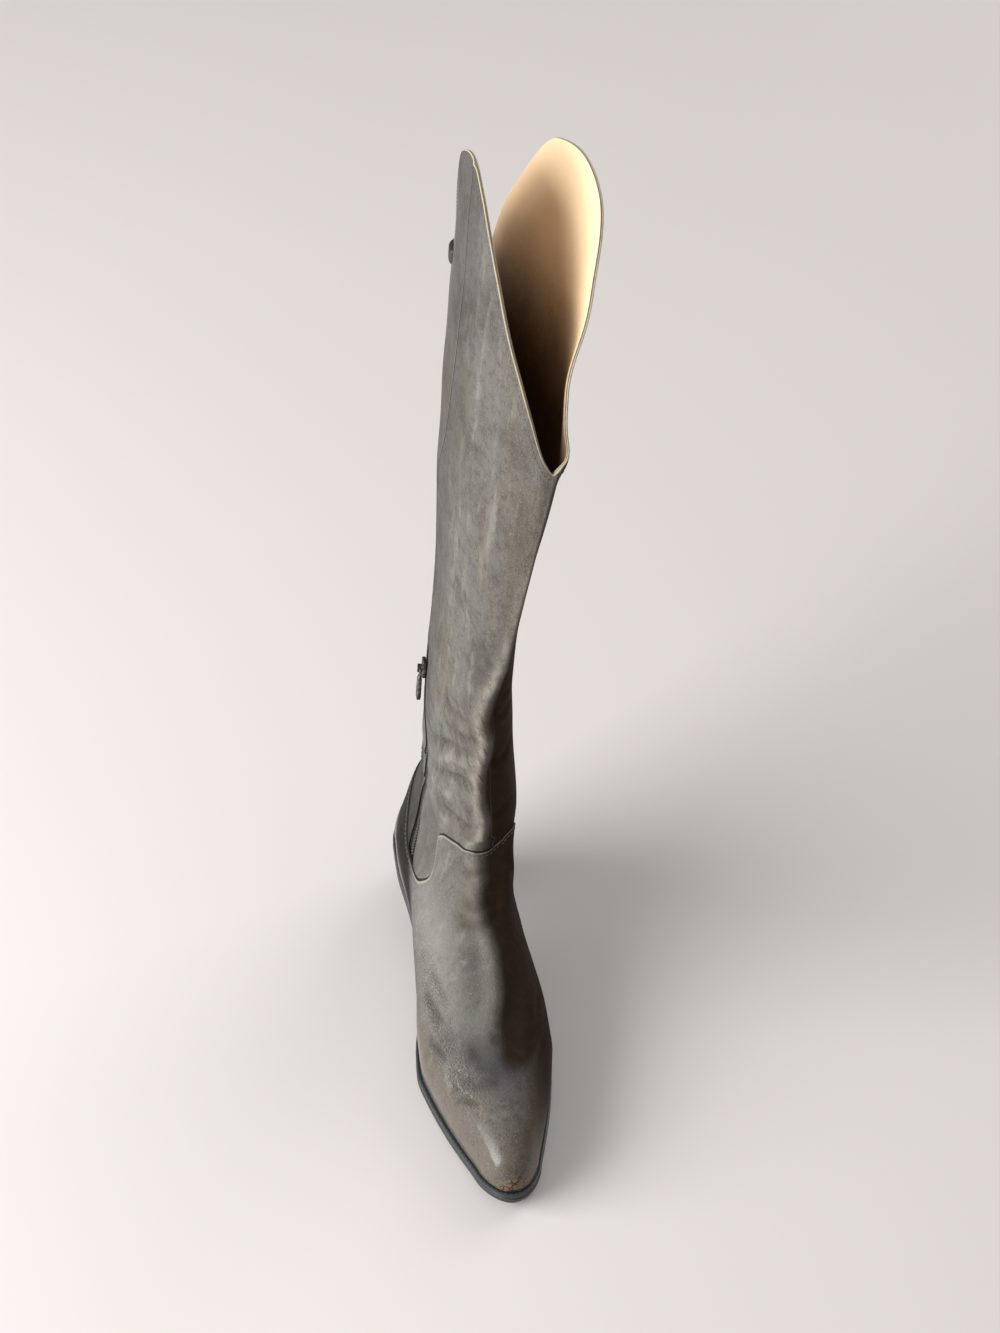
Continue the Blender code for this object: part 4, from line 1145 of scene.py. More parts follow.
@dataclass(frozen=True)
class PlainSkin:
    """Leather or rubber of one colour, with grain, mottling and a light wear."""

    name: str
    colour: Colour
    worn: Colour
    roughness: float
    grain: float = 900.0
    depth: float = 0.0002
    wear: float = 0.3

    def build(self) -> bpy.types.Material:
        """Return the material: noise between the two colours, and a pebbled height."""
        sheet = Sheet(self.name)
        place, mottle, dapple = sheet.skin_noise()
        shares = (sheet.step(mottle, 0.45, 0.8), sheet.step(dapple, 0.56, 0.74))
        tone = sheet.layers(self.colour, *((self.worn, share * self.wear) for share in shares))
        height = sheet.cells(place, self.grain) * 0.6 + dapple * 0.5
        rough = self.roughness + mottle * 0.12 - 0.04
        return sheet.finish(tone, height, self.depth, Roughness=rough)


@dataclass(frozen=True)
class Lining:
    """Soft lining leather, cream at the collar and darker deeper down by painted shade."""

    clean: Colour = (0.86, 0.65, 0.41)
    # worn and the next: painted shade of the inside, browner half way down and dark at the bottom.
    worn: Colour = (0.52, 0.34, 0.18)
    deep: Colour = (0.066, 0.028, 0.009)

    def build(self) -> bpy.types.Material:
        """Return the material: the cream of the collar goes over to painted shade down the shaft."""
        sheet = Sheet("lining_leather")
        place, mottle, dapple = sheet.skin_noise()
        # Painted shade of the shaft's inside, growing from the collar downwards.
        down = 1 - sheet.step(sheet.read("level") + mottle * 0.06, 1.74, 2.04)
        worn = (self.worn, down * 0.8 + mottle * 0.2)
        tone = sheet.layers(self.clean, worn, (self.deep, sheet.step(down, 0.22, 0.98) * 0.93))
        height = sheet.cells(place, 700.0) * 0.6 + dapple * 0.5
        return sheet.finish(tone, height, 0.00012, Roughness=0.56 + mottle * 0.12)


@dataclass(frozen=True)
class Layered:
    """Stacked leather of the heel: lifts with dark joints, lacquered."""

    colour: Colour = (0.013, 0.012, 0.012)
    worn: Colour = (0.04, 0.034, 0.03)
    joint: Colour = (0.004, 0.0035, 0.003)
    pitch: float = 5.1
    base: float = 6.0
    roughness: float = 0.32

    def build(self) -> bpy.types.Material:
        """Return the material: a thin dark line at each multiple of the pitch in height."""
        sheet = Sheet("heel_stack")
        height = sheet.node("ShaderNodeSeparateXYZ", None, {0: sheet.place()}, "Z")
        share = sheet.math("FRACT", (height - self.base * MM) / (self.pitch * MM))
        gap = sheet.step(abs(share - 0.5), 0.40, 0.47)
        fibre = sheet.noise(sheet.stretched(1.0, 1.0, 6.0), 240.0, 4.0, 0.6)
        grain = (self.worn, sheet.step(fibre, 0.45, 0.75) * 0.5)
        tone = sheet.layers(self.colour, grain, (self.joint, gap * 0.8))
        rough = self.roughness + fibre * 0.15
        return sheet.finish(tone, fibre * 0.4 - gap, 0.0003, Roughness=rough)


@dataclass(frozen=True)
class Weave:
    """Woven zip tape, with threads along and across the zip."""

    colour: Colour = (0.045, 0.052, 0.047)
    light: Colour = (0.095, 0.105, 0.095)

    def build(self) -> bpy.types.Material:
        """Return the material: products of sines of the tape's own coordinates give the threads."""
        sheet = Sheet("zip_tape_weave")
        warp = sheet.math("SINE", sheet.read("across_mm") * 9.0)
        shift = sheet.math("SIGN", warp) * 1.57
        weft = sheet.math("SINE", sheet.read("along_mm") * 7.0 + shift)
        thread = warp * weft * 0.5 + 0.5
        tone = sheet.mix(self.colour, self.light, thread * 0.8)
        return sheet.finish(tone, thread, 0.0002, {"Roughness": 0.85})


@dataclass(frozen=True)
class Metal:
    """Antiqued metal: dull and dark in patches, rubbed bright in others."""

    name: str = "zip_metal"
    bright: Colour = (0.19, 0.185, 0.175)
    dull: Colour = (0.04, 0.038, 0.035)
    roughness: float = 0.34

    def build(self) -> bpy.types.Material:
        """Return the material: noise between the dull and the bright metal."""
        sheet = Sheet(self.name)
        patch = sheet.noise(sheet.place(), 420.0, 5.0, 0.65)
        scratch = sheet.noise(sheet.stretched(1.0, 1.0, 5.0), 900.0, 2.0)
        tone = sheet.mix(self.dull, self.bright, sheet.step(patch, 0.36, 0.66))
        rough = self.roughness + patch * 0.3 + scratch * 0.1
        return sheet.finish(tone, scratch, 0.00006, {"Metallic": 1.0}, Roughness=rough)


@dataclass(frozen=True)
class Thread:
    """Waxed sewing thread with a twist."""

    name: str
    colour: Colour

    def build(self) -> bpy.types.Material:
        """Return the material: fine noise over one colour."""
        sheet = Sheet(self.name)
        twist = sheet.noise(sheet.place(), 2600.0, 2.0)
        tone = sheet.mix(self.colour, tuple(c * 0.45 for c in self.colour), twist * 0.8)
        return sheet.finish(tone, twist, 0.0001, {"Roughness": 0.6})


@dataclass(frozen=True)
class Ground:
    """Plain pale floor."""

    colour: Colour = (0.68, 0.65, 0.64)

    def build(self) -> bpy.types.Material:
        """Return the material: one pale tone with a trace of variation."""
        sheet = Sheet("floor")
        cloud = sheet.noise(sheet.place(), 3.0, 2.0)
        tone = sheet.mix(self.colour, tuple(c * 0.97 for c in self.colour), cloud)
        return sheet.finish(tone, fixed={"Roughness": 0.75})


PLAIN_SKINS = (
    # name, colour, worn colour, roughness, grain, depth, wear
    PlainSkin("raw_edge", (0.42, 0.37, 0.28), (0.24, 0.19, 0.13), 0.75, 1600, 0.0002, 0.5),
    PlainSkin("insole_leather", (0.50, 0.34, 0.18), (0.30, 0.19, 0.10), 0.6, 800, 0.00015),
    PlainSkin("welt_edge", (0.020, 0.026, 0.031), (0.075, 0.085, 0.09), 0.38, 1300, 0.0001),
    PlainSkin(
        "outsole_leather", (0.028, 0.026, 0.025), (0.09, 0.075, 0.06), 0.5, 900, 0.00015, 0.5
    ),
    PlainSkin("top_lift_rubber", (0.014,) * 3, (0.05, 0.048, 0.045), 0.65, 1500, 0.0002, 0.4),
    PlainSkin("tab_leather", (0.020, 0.016, 0.013), (0.06, 0.05, 0.04), 0.55),
)


class Finishes:
    """Every finish of the boot, built once."""

    def __init__(self) -> None:
        """Build the materials."""
        plain = [skin.build() for skin in PLAIN_SKINS]
        self.raw_edge, self.insole, self.welt, self.sole, self.lift, self.tab = plain
        self.leather = Leather().build()
        self.lining = Lining().build()
        self.heel = Layered().build()
        self.tape = Weave().build()
        self.metal = Metal().build()
        teeth = Metal("zip_teeth_metal", (0.155, 0.15, 0.14), (0.12, 0.116, 0.11), 0.40)
        self.teeth = teeth.build()
        self.thread = Thread("upper_thread", (0.12, 0.11, 0.095)).build()
        self.welt_thread = Thread("welt_thread", (0.045,) * 3).build()


# ---------------------------------------------------------------------------------------------
# The boot
# ---------------------------------------------------------------------------------------------


@dataclass
class Wall:
    """Cross-section of the upper: how deep each face lies under the last."""

    inner_depth: float = 2.6
    shaft: float = 1.9
    overlay: float = 2.9
    seam_rise: float = 0.8
    seam_flat: float = 0.4
    seam_half: float = 3.2
    step_half: float = 0.0015
    edge_row: float = 0.008
    foot_gap: float = 0.5
    foot_fade: float = 0.06

    def outer_depth(self, angle: Array, level: Array, last: Last) -> Array:
        """Depth of the outer face: the overlay is thicker than the shaft below its edge."""
        return self.inner_depth - np.where(level < last.overlay(angle), self.overlay, self.shaft)

    def seam_height(self, distance: Array) -> Array:
        """Height of the raised seams: whole near their line and eased away beside it."""
        return self.seam_rise * smooth(1 - (abs(distance) - self.seam_flat) / self.seam_half)


# The collar's edge, two rounded layers with a groove between them: each row is a share of the way
# from the outer to the inner face, and a height.
RIM = (
    (0.04, 0.35), (0.16, 0.62), (0.34, 0.62), (0.48, 0.35),
    (0.56, -0.15), (0.64, 0.25), (0.78, 0.48), (0.92, 0.30),
)


@dataclass
class Upper:
    """Hollow upper: vamp, counter and shaft in one wall, open at the collar and at the zip."""

    last: Last
    relief: Relief
    finishes: Finishes
    wall: Wall = field(default_factory=Wall)
    vamp_rows: int = 110
    shaft_rows: int = 152
    column_step: float = 2.05
    zip_half: float = 3.6
    zip_low: float = 0.540
    zip_high: float = 1.2252
    front_seam: float = 6.0
    far: float = 99.0
    ankle_crowding: float = 0.42
    degree_mm: float = 0.62
    tip_middle: tuple[float, float, float] = (3.0, -252.0, 17.0)
    tip_stretch: tuple[float, float, float] = (1.3, 1.0, 0.9)
    tip_flat: float = 6.0
    tip_run: float = 11.0

    def columns(self) -> Array:
        """Angles of the columns: even runs with a column exactly at each seam and slot edge."""
        middle = self.last.zip_angle
        slot = (middle - self.zip_half, middle, middle + self.zip_half)
        stops = (-180.0, *slot, self.front_seam, 180.0)
        runs = []
        for start, stop in zip(stops[:-1], stops[1:]):
            cells = 2 * max(1, math.ceil((stop - start) / self.column_step / 2))
            runs.append(np.linspace(start, stop, cells, endpoint=False))
        return np.concatenate(runs)

    def grid(self, columns: Array) -> tuple[Array, Array]:
        """Angles and levels of the rows at each column.

        Rows below the overlay's edge are shares of it, two pairs of rows hug the edge, and rows
        above it are shares of the way to the collar, closer at the ankle. The columns drift along
        the zip's line.
        """
        near, step = self.wall.edge_row, self.wall.step_half
        edge = self.last.overlay(self.last.drift(columns, np.array(0.0)))
        collar = self.last.collar(self.last.drift(columns, np.array(1.0)))
        low = np.linspace(0, 1, self.vamp_rows)
        high = np.linspace(0, 1, self.shaft_rows)
        high = self.ankle_crowding * high + (1 - self.ankle_crowding) * high**2
        levels = [share * (edge - 2 * near) for share in low]
        levels += [edge + shift for shift in (-near, -step, step, near)]
        levels += [edge + 2 * near + share * (collar - edge - 2 * near) for share in high]
        shares = np.concatenate([low - 1, np.zeros(4), high])
        return self.last.drift(columns, shares[:, None]), np.array(levels)

    def seam_distance(self, columns: Array, levels: Array, points: Array) -> Array:
        """Signed distance to the nearest shaft seam: at the front, at the back or above the zip.

        The distance to a seam is its column's difference times the arc length of one degree there.
        """
        arc = np.linalg.norm(np.roll(points, -1, 1) - np.roll(points, 1, 1), axis=-1)
        degree = arc / ((np.roll(columns, -1) - np.roll(columns, 1)) % 360)
        overlay, front = self.last.overlay, self.front_seam
        seams = (
            (columns - self.last.zip_angle, self.zip_high),
            ((columns + 360) % 360 - 180, overlay(180.0)),
            (front - columns, overlay(front)),
        )
        nearest = np.full(levels.shape, np.inf)
        for away, lowest in seams:
            gap = np.where(levels > lowest, away * degree, self.far)
            nearest = np.where(abs(gap) < abs(nearest), gap, nearest)
        return nearest

    def build(self) -> None:
        """Build the upper as one closed shell with its fields for the finish.

        Its rows go up the outer face, over the rim and down every other row of the inner face.
        """
        columns = self.columns()
        angle, levels = self.grid(columns)
        base = self.last.surface(angle, levels)
        normal = self.last.normal(angle, levels)
        lift, trough, ridge = self.relief.lift(base, angle, levels)
        lift = lift * smooth(levels / self.wall.foot_fade)
        depth = self.wall.outer_depth(angle, levels, self.last)
        seam = self.seam_distance(columns, levels, base)
        outer = base + normal * (lift - depth + self.wall.seam_height(seam))[..., None]
        outer[0] = self.foot_line(columns, self.wall.overlay - self.wall.inner_depth)
        inner = base + normal * (lift - self.wall.inner_depth)[..., None]
        inner[0] = self.foot_line(columns, -self.wall.inner_depth)
        rim = self.rim(outer[-1], inner[-1], normal[-1])
        keep = np.arange(len(levels) - 1, -1, -2)
        if keep[-1] != 0:
            keep = np.append(keep, 0)
        points = np.concatenate([outer, rim, inner[keep]])
        rows, count = points.shape[:2]
        quads = grid_quads(rows, count, wrap_rows=True).reshape(rows, count, 4)
        where = {int(row): len(outer) + len(rim) + index for index, row in enumerate(keep)}
        low, high = self.slot_rows(levels, columns, where)
        slot = self.slot_columns(columns)
        solid = np.ones((rows, count), dtype=bool)
        solid[low:high, slot] = False
        solid[where[high] : where[low], slot] = False
        walls = self.slot_walls(low, high, slot, where, count)
        faces = np.concatenate([quads[solid], walls])
        made = Maker.mesh("upper_shell", points, faces, self.finishes.leather)
        fields = {"seam_mm": seam, "trough": trough, "ridge": ridge}
        fields |= self.fields(levels, angle, base)
        for name, values in fields.items():
            over = np.broadcast_to(values[-1], (len(rim), count))
            Maker.field(made, name, np.concatenate([values, over, values[keep]]))
        self.assign(made, len(levels) - 1, len(rim), solid, len(walls))
        mount(made, "upper")

    def foot_line(self, columns: Array, reach: float) -> Array:
        """Lowest row of a face of the wall, just above the welt."""
        loop = self.last.feather(columns, reach)
        top = self.last.welt_top(self.last.feather(columns, 0.3)[:, 1]) + self.wall.foot_gap
        return with_height(loop, top)

    def rim(self, outer: Array, inner: Array, normal: Array) -> Array:
        """Rows across the collar's edge, square to the wall and upwards."""
        shares, heights = np.array(RIM).T[..., None, None]
        up = np.cross(np.roll(outer, -1, 0) - np.roll(outer, 1, 0), normal)
        up = up / np.linalg.norm(up, axis=-1, keepdims=True)
        up = up * np.sign(up[:, 2:3])
        return outer + shares * (inner - outer) + heights * up

    def slot_rows(self, levels: Array, columns: Array, where: dict[int, int]) -> tuple[int, int]:
        """First and last row of the zip's slot, of the rows that both faces of the wall have."""
        middle = levels[:, int(np.argmin(abs(columns - self.last.zip_angle)))]
        rows = [row for row in where if self.zip_low < middle[row] < self.zip_high]
        return min(rows), max(rows)

    def slot_columns(self, columns: Array) -> Array:
        """Columns whose quads lie in the zip's slot."""
        near = abs(columns - self.last.zip_angle) < self.zip_half + 0.01
        return np.nonzero(near)[0][:-1]

    @staticmethod
    def slot_walls(low: int, high: int, slot: Array, where: dict[int, int], count: int) -> Array:
        """Quads between the outer and the inner face around the slot.

        Up each side, two outer rows meet one inner row, as a quad and a triangle. Across each end
        the columns match.
        """
        left, right = int(slot[0]), int(slot[-1]) + 1
        faces = []
        for row in range(low, high, 2):
            for column, flip in ((left, False), (right, True)):
                a, b, c = (r * count + column for r in (row, row + 1, row + 2))
                d, e = (where[r] * count + column for r in (row + 2, row))
                for face in ((a, b, e, e), (b, d, e, e), (b, c, d, d)):
                    faces.append(face[::-1] if flip else face)
        for row, flip in ((low, True), (high, False)):
            for column in range(left, right):
                a, b = (r * count + column for r in (row, where[row]))
                face = (a, a + 1, b + 1, b)
                faces.append(face[::-1] if flip else face)
        return np.array(faces)

    def fields(self, levels: Array, angle: Array, base: Array) -> dict[str, Array]:
        """Shares of the finish and distances that it reads.

        Each ramp is a product of soft steps, and each patch a bell. The painted shade of the outer side
        starts further from the crest ahead of the ball than behind it.

        Args:
            levels: level of each point of the outer face.
            angle: its angle.
            base: its place on the last, in millimetres.

        Returns:
            One array for each name.
        """
        edge = self.edge_distance(levels, angle, base)
        away = self.relief.from_crest(angle, levels)
        source = {"angle": angle, "level": levels, "edge": edge, "away": away}
        ramp = {
            name: math.prod(smooth((source[r.key] - r.start) / (r.end - r.start)) for r in steps)
            for name, steps in RAMPS.items()
        }
        tip_gap = np.linalg.norm((base - self.tip_middle) / self.tip_stretch, axis=-1)
        # The painted shade of the outer side starts further from the crest ahead of the ball.
        start, run = 1 + 16 * ramp["ahead"], 13 + 22 * ramp["ahead"]
        # The painted shade of the counter is fainter on the shaft.
        on_shaft = 0.75 * ramp["counter_shade_shaft"]
        return {
            "level": levels,
            "edge_mm": edge,
            "tip": 1 - smooth((tip_gap - self.tip_flat) / self.tip_run),
            "flank": np.maximum(*(patch.share(angle, levels) for patch in FLANKS)),
            # Painted shade: the hollow across the ball, the toe's outer side and the outer side, which side
            # fades; crest is paler where rubbed and by painted light.
            "ball": BALL_SHADE.share(angle, levels),
            "toe_side_shade": ramp["toe_side_shade"],
            "outer": smooth((away - start) / run) * ramp["outer"],
            "side": ramp["side"],
            "crest": bell((away + 7) / 8) * ramp["crest"] * (0.45 + 0.55 * ramp["crest_shaft"]),
            "ankle": ramp["ankle"] * bell((levels - 1.11) / 0.16),
            # Painted shade down the big-toe side of the shaft and in the recess by the zip, and over the
            # counter.
            "shin_shade": np.maximum(ramp["shin_shade"], 0.7 * ramp["pocket_shade"]),
            "instep": INSTEP.share(angle, levels),
            "counter": ramp["counter"] * np.where(edge < 0, 1.0, on_shaft),
            "turn_mm": angle * self.degree_mm,
            "rise_mm": base[..., 2],
            "nick": bell((angle + 9) / 2.4, (edge - 0.7) / 1.3),
        }

    def assign(
        self, made: bpy.types.Object, top: int, rim_rows: int, solid: Array, wall_faces: int
    ) -> None:
        """Give the shell's rim its raw edge and its inner face the lining.

        Args:
            made: the shell.
            top: number of its highest outer row.
            rim_rows: how many rows cross the collar's edge.
            solid: which quads of the grid it has.
            wall_faces: how many faces lie around the slot.
        """
        made.data.materials.append(self.finishes.lining)
        made.data.materials.append(self.finishes.raw_edge)
        slots = np.zeros(solid.shape, dtype=np.int32)
        slots[top : top + rim_rows] = 2
        slots[top + rim_rows : -1] = 1
        numbers = np.concatenate([slots[solid], np.zeros(wall_faces, dtype=np.int32)])
        made.data.polygons.foreach_set("material_index", numbers[: len(made.data.polygons)])
        Maker.outwards(made)
        made.data.update()

    def edge_distance(self, levels: Array, angle: Array, base: Array) -> Array:
        """Signed distance along the wall from the overlay's edge, positive on the shaft.

        It is the level's difference times the length of one level there, divided by the slope of
        the edge so that a steep part of it keeps the same width.
        """
        edge = self.last.overlay(angle)
        along = np.gradient(base, axis=0)
        rise = np.gradient(levels, axis=0)
        length = np.linalg.norm(along, axis=-1) / np.maximum(abs(rise), 1e-6)
        arc = np.linalg.norm(np.roll(base, -1, 1) - np.roll(base, 1, 1), axis=-1)
        turn = (np.roll(angle, -1, 1) - np.roll(angle, 1, 1)) % 360
        slope = (np.roll(edge, -1, 1) - np.roll(edge, 1, 1)) / turn
        lean = np.hypot(1.0, slope * length / (arc / turn))
        return np.clip((levels - edge) * length / lean, -60, 60)


@dataclass
class Tab:
    """Small folded tab of dark leather, sewn flat on the big-toe side near the collar's back."""

    last: Last
    finishes: Finishes
    angle: float = -131.0
    level: float = 1.861
    half_angle: float = 5.5
    half_level: float = 0.0085
    stand: float = 2.0
    sunk: float = 0.3
    under: float = 0.5

    def build(self) -> None:
        """Build the tab: a pad over a patch of the upper.

        At shares s and t from -1 to 1 across the patch it stands stand * (1 - s^6)(1 - t^6) high.
        """
        share = np.linspace(-1, 1, 13)
        across, along = np.meshgrid(share, share)
        angle = self.angle + self.half_angle * across
        level = self.level + self.half_level * along
        base = self.last.surface(angle, level)
        normal = self.last.normal(angle, level)
        height = self.stand * (1 - across**6) * (1 - along**6) - self.sunk
        top = base + normal * height[..., None]
        back = base - normal * (self.sunk + self.under)
        mount(Maker.strip("upper_tab", top, back, self.finishes.tab))


@dataclass
class Stitching:
    """Sewn rows of the upper and the welt."""

    last: Last
    relief: Relief
    finishes: Finishes
    pitch: float = 3.0
    length: float = 2.2
    width: float = 0.62
    flatness: float = 0.8
    bead_sides: int = 6

    def bead(self) -> tuple[Array, Array]:
        """Points and quads of one stitch: a capsule along x, in units of its length and width.

        Its rings are circles of radius sqrt(1 - (2 t)^4) / 2 at shares t from -0.5 to 0.5.
        """
        shares = np.array([-0.5, -0.36, 0.0, 0.36, 0.5])
        radius = np.sqrt(np.clip(1 - (2 * shares) ** 4, 0.02, 1)) / 2
        turn = full_turn(self.bead_sides)
        ring = np.stack([np.zeros(self.bead_sides), np.cos(turn), np.sin(turn)], -1)
        points = ring[None] * radius[:, None, None]
        points[..., 0] += shares[:, None]
        return points.reshape(-1, 3), grid_quads(len(shares), self.bead_sides)

    def row(self, path: Array, normals: Array) -> tuple[Array, Array]:
        """Stitches at equal steps along a path.

        Args:
            path: points of the path, in millimetres.
            normals: outward normals along it.

        Returns:
            Points and quads of all the stitches.
        """
        line = Line(path)
        places = np.arange(self.pitch / 2, line.far[-1], self.pitch)
        along = unit(line.at(places + 0.5) - line.at(places - 0.5))
        side = unit(np.cross(line.at(places, normals), along))
        out = np.cross(along, side) * self.flatness
        frames = np.stack([along * self.length, side * self.width, out * self.width], 1)
        return Maker.copies(*self.bead(), line.at(places), frames)

    @staticmethod
    def gather(
        name: str, rows: list[tuple[Array, Array]], material: bpy.types.Material, slot: str
    ) -> None:
        """Make one piece of several rows."""
        points, quads = zip(*rows)
        starts = np.cumsum([0, *map(len, points)])
        quads = [quad + start for quad, start in zip(quads, starts)]
        mount(Maker.mesh(name, np.concatenate(points), np.concatenate(quads), material))

    def shifted(self, angles: Array, levels: Array, shift: float) -> tuple[Array, Array]:
        """Path moved sideways along the last by a distance, to its left as it runs.

        The step sideways is split between angle and level by the lengths of one degree and one
        level there.
        """
        surface = self.last.surface
        low, high = (np.clip(levels + step, 0, 2) for step in (-0.005, 0.005))
        beside = surface(angles + 0.5, levels) - surface(angles - 0.5, levels)
        above = surface(angles, high) - surface(angles, low)
        degree = np.linalg.norm(beside, axis=-1)
        whole = np.linalg.norm(above, axis=-1) / (high - low)
        run = np.gradient(angles) * degree
        rise = np.gradient(levels) * whole
        length = np.maximum(np.hypot(run, rise), 1e-9)
        return angles - rise / length * shift / degree, levels + run / length * shift / whole

    def build(self) -> None:
        """Sew the overlay's edge and the collar in one row, the back seam in two, and the welt."""
        angles = np.linspace(-179.9, 179.9, 1400)
        low, high = self.last.overlay, self.last.collar
        levels = np.linspace(float(low(180.0)), float(high(180.0)), 900)[12:-12]
        back = np.full(len(levels), 180.0)
        # Angles, levels, shift to the left, depth under the surface.
        paths = (
            (angles, low(angles), -2.6, -0.25),
            (angles, high(angles), -3.0, 0.7),
            (back, levels, -2.0, 0.2),
            (back, levels, 2.0, 0.2),
        )
        rows = [
            self.row(*self.relief.under(*self.shifted(*path), depth)) for *path, depth in paths
        ]
        self.gather("upper_stitches", rows, self.finishes.thread, "leather")
        self.welt_row()

    def welt_row(self) -> None:
        """Sew the welt along the middle of its ledge."""
        turns = np.linspace(-180, 180, 1801)
        loop = self.last.feather(turns, 0.2, 0.55)
        front = loop[:, 1] < -128.0
        path = with_height(loop, self.last.welt_top(loop[:, 1]) + 0.12)[front]
        up = np.tile((0.0, 0.0, 1.0), (len(path), 1))
        self.gather("welt_stitches", [self.row(path, up)], self.finishes.welt_thread, "sole_edge")


@dataclass
class SoleUnit:
    """Welt, outsole and insole, all let out or in from the feather line."""

    last: Last
    finishes: Finishes
    columns: int = 240
    welt: float = 3.2
    welt_inner: float = 9.0
    outsole: float = 5.0
    taper: float = 0.8
    gap: float = 0.45
    insole_clearance: float = 3.9

    def loop(self, reach: float, drop: float, ledge: float = 0.0) -> Array:
        """Loop at a reach beyond a share of the ledge, and a drop under the top of the welt."""
        angle = np.linspace(-180, 180, self.columns, endpoint=False)
        flat = self.last.feather(np.roll(angle, -self.columns // 2), reach, ledge)
        return with_height(flat, self.last.welt_top(flat[:, 1]) - drop)

    def build(self) -> None:
        """Build the three layers, whose profiles are carried around the feather line.

        A row of a profile is a reach, a drop and a share of the ledge. The welt's edge is rounded
        and grooved, and the outsole's is rounded and tapers.
        """
        inner, taper, plate = -self.welt_inner, -self.taper, -self.insole_clearance
        top = self.welt + self.gap
        low = top + self.outsole
        welt = (
            (-0.6, 0.05), (-1.0, 0.0, 1), (-0.5, 0.05, 1), (-0.12, 0.3, 1), (0.0, 0.8, 1),
            (0.0, 1.3, 1), (-0.25, 1.6, 1), (0.0, 1.9, 1), (0.0, 2.6, 1), (-0.3, 3.2, 1),
            (inner, self.welt), (inner, 0.0),
        )
        outsole = (
            (-0.35, top, 1), (0.0, top + 0.4, 1), (0.05, top + 2.2, 1), (-0.25, top + 3.6, 1),
            (taper + 0.1, low - 0.7, 1), (taper - 0.5, low - 0.15, 1), (taper - 1.2, low, 1),
            (-3.2, low), (-3.5, low - 0.5), (-4.1, low - 0.5), (-4.4, low),
        )
        insole = (
            (plate - 0.9, -3.3), (plate - 0.3, -3.1), (plate, -2.6), (plate, -0.7),
            (plate - 0.4, -0.3), (inner - 0.3, -0.3), (inner - 0.3, self.welt),
        )
        layers = (
            ("welt_strip", welt, self.finishes.welt, "sole_edge", "welt"),
            ("outsole_plate", outsole, self.finishes.sole, "outsole", "outsole"),
            ("insole_board", insole, self.finishes.insole, "insole", "insole"),
        )
        for name, profile, finish, slot, replaced in layers:
            loops = [self.loop(*row) for row in profile]
            mount(Maker.loft(name, loops, finish, closed=profile is welt), replaced)


@dataclass
class Heel:
    """Stacked heel and its top lift."""

    last: Last
    finishes: Finishes
    half_length: float = 22.5
    half_width: float = 21.5
    top_front: float = -31.0
    top_inset: float = 0.8
    hollow: float = 3.0
    waist: float = 1.2
    end_round: float = 22.0
    lift: float = 6.0
    drop: float = 3.2 + 0.45 + 5.0 + 0.45
    breast_columns: int = 16
    side_columns: int = 48
    groove: float = 0.28
    groove_half: float = 0.012

    def loop(self, front: float, back: float, half: float) -> Array:
        """Loop of (x, y): a breast hollowed by a parabola, straight sides and a round back."""
        across = np.linspace(0, 1, self.breast_columns + 1)
        breast = np.column_stack([half * across, front + self.hollow * (1 - across**2)])
        share = (1 - np.cos(np.linspace(0, math.pi, self.side_columns + 1)[1:])) / 2
        y = front + share * (back - front)
        side = np.column_stack([half * round_end(back - y, self.end_round), y])
        right = np.concatenate([breast, side])
        return np.concatenate([right, right[-2:0:-1] * (-1, 1)])

    def section(self, share: float, inset: float = 0.0) -> Array:
        """Loop of the heel at a share of its height, from the seat (0) to the lift (1)."""
        seat_ledge = OUTLINE[-1].ledge - self.top_inset
        top_back = self.last.seat_y + seat_ledge
        top_half = OUTLINE[-1].half + seat_ledge
        bow = self.waist * math.sin(math.pi * share)
        front = self.top_front + share * (-self.half_length - self.top_front) + bow / 2 + inset
        back = top_back + share * (self.half_length - top_back) - bow - inset
        half = top_half + share * (self.half_width - top_half) - bow - inset
        middle = float(self.last.line["middle"](0.0)) * (1 - share)
        loop = self.loop(front, back, half) + (middle, 0.0)
        seat = self.last.welt_top(loop[:, 1]) - self.drop
        return with_height(loop, seat + share * (self.lift - seat))

    def build(self) -> None:
        """Build the stack with a groove at each layer, and the lift with rounded edges."""
        stack = [(0.0, 0.5), (0.015, 0.0)]
        for share in np.linspace(0.14, 0.86, 6):
            sides = (share - self.groove_half, 0.0), (share + self.groove_half, 0.0)
            stack += [sides[0], (share, self.groove), sides[1]]
        stack += [(0.98, 0.0), (1.0, 0.3)]
        loops = [self.section(*row) for row in stack]
        mount(Maker.loft("heel_stack", loops, self.finishes.heel, sharp=60.0), "heel_block")
        long, wide, top = self.half_length, self.half_width, self.lift
        lift = ((0.45, top - 0.3), (0.0, top - 0.7), (0.0, 0.6), (0.25, 0.15), (0.7, 0.0))
        loops = [with_height(self.loop(i - long, long - i, wide - i), z) for i, z in lift]
        mount(Maker.loft("heel_lift", loops, self.finishes.lift), "top_lift")


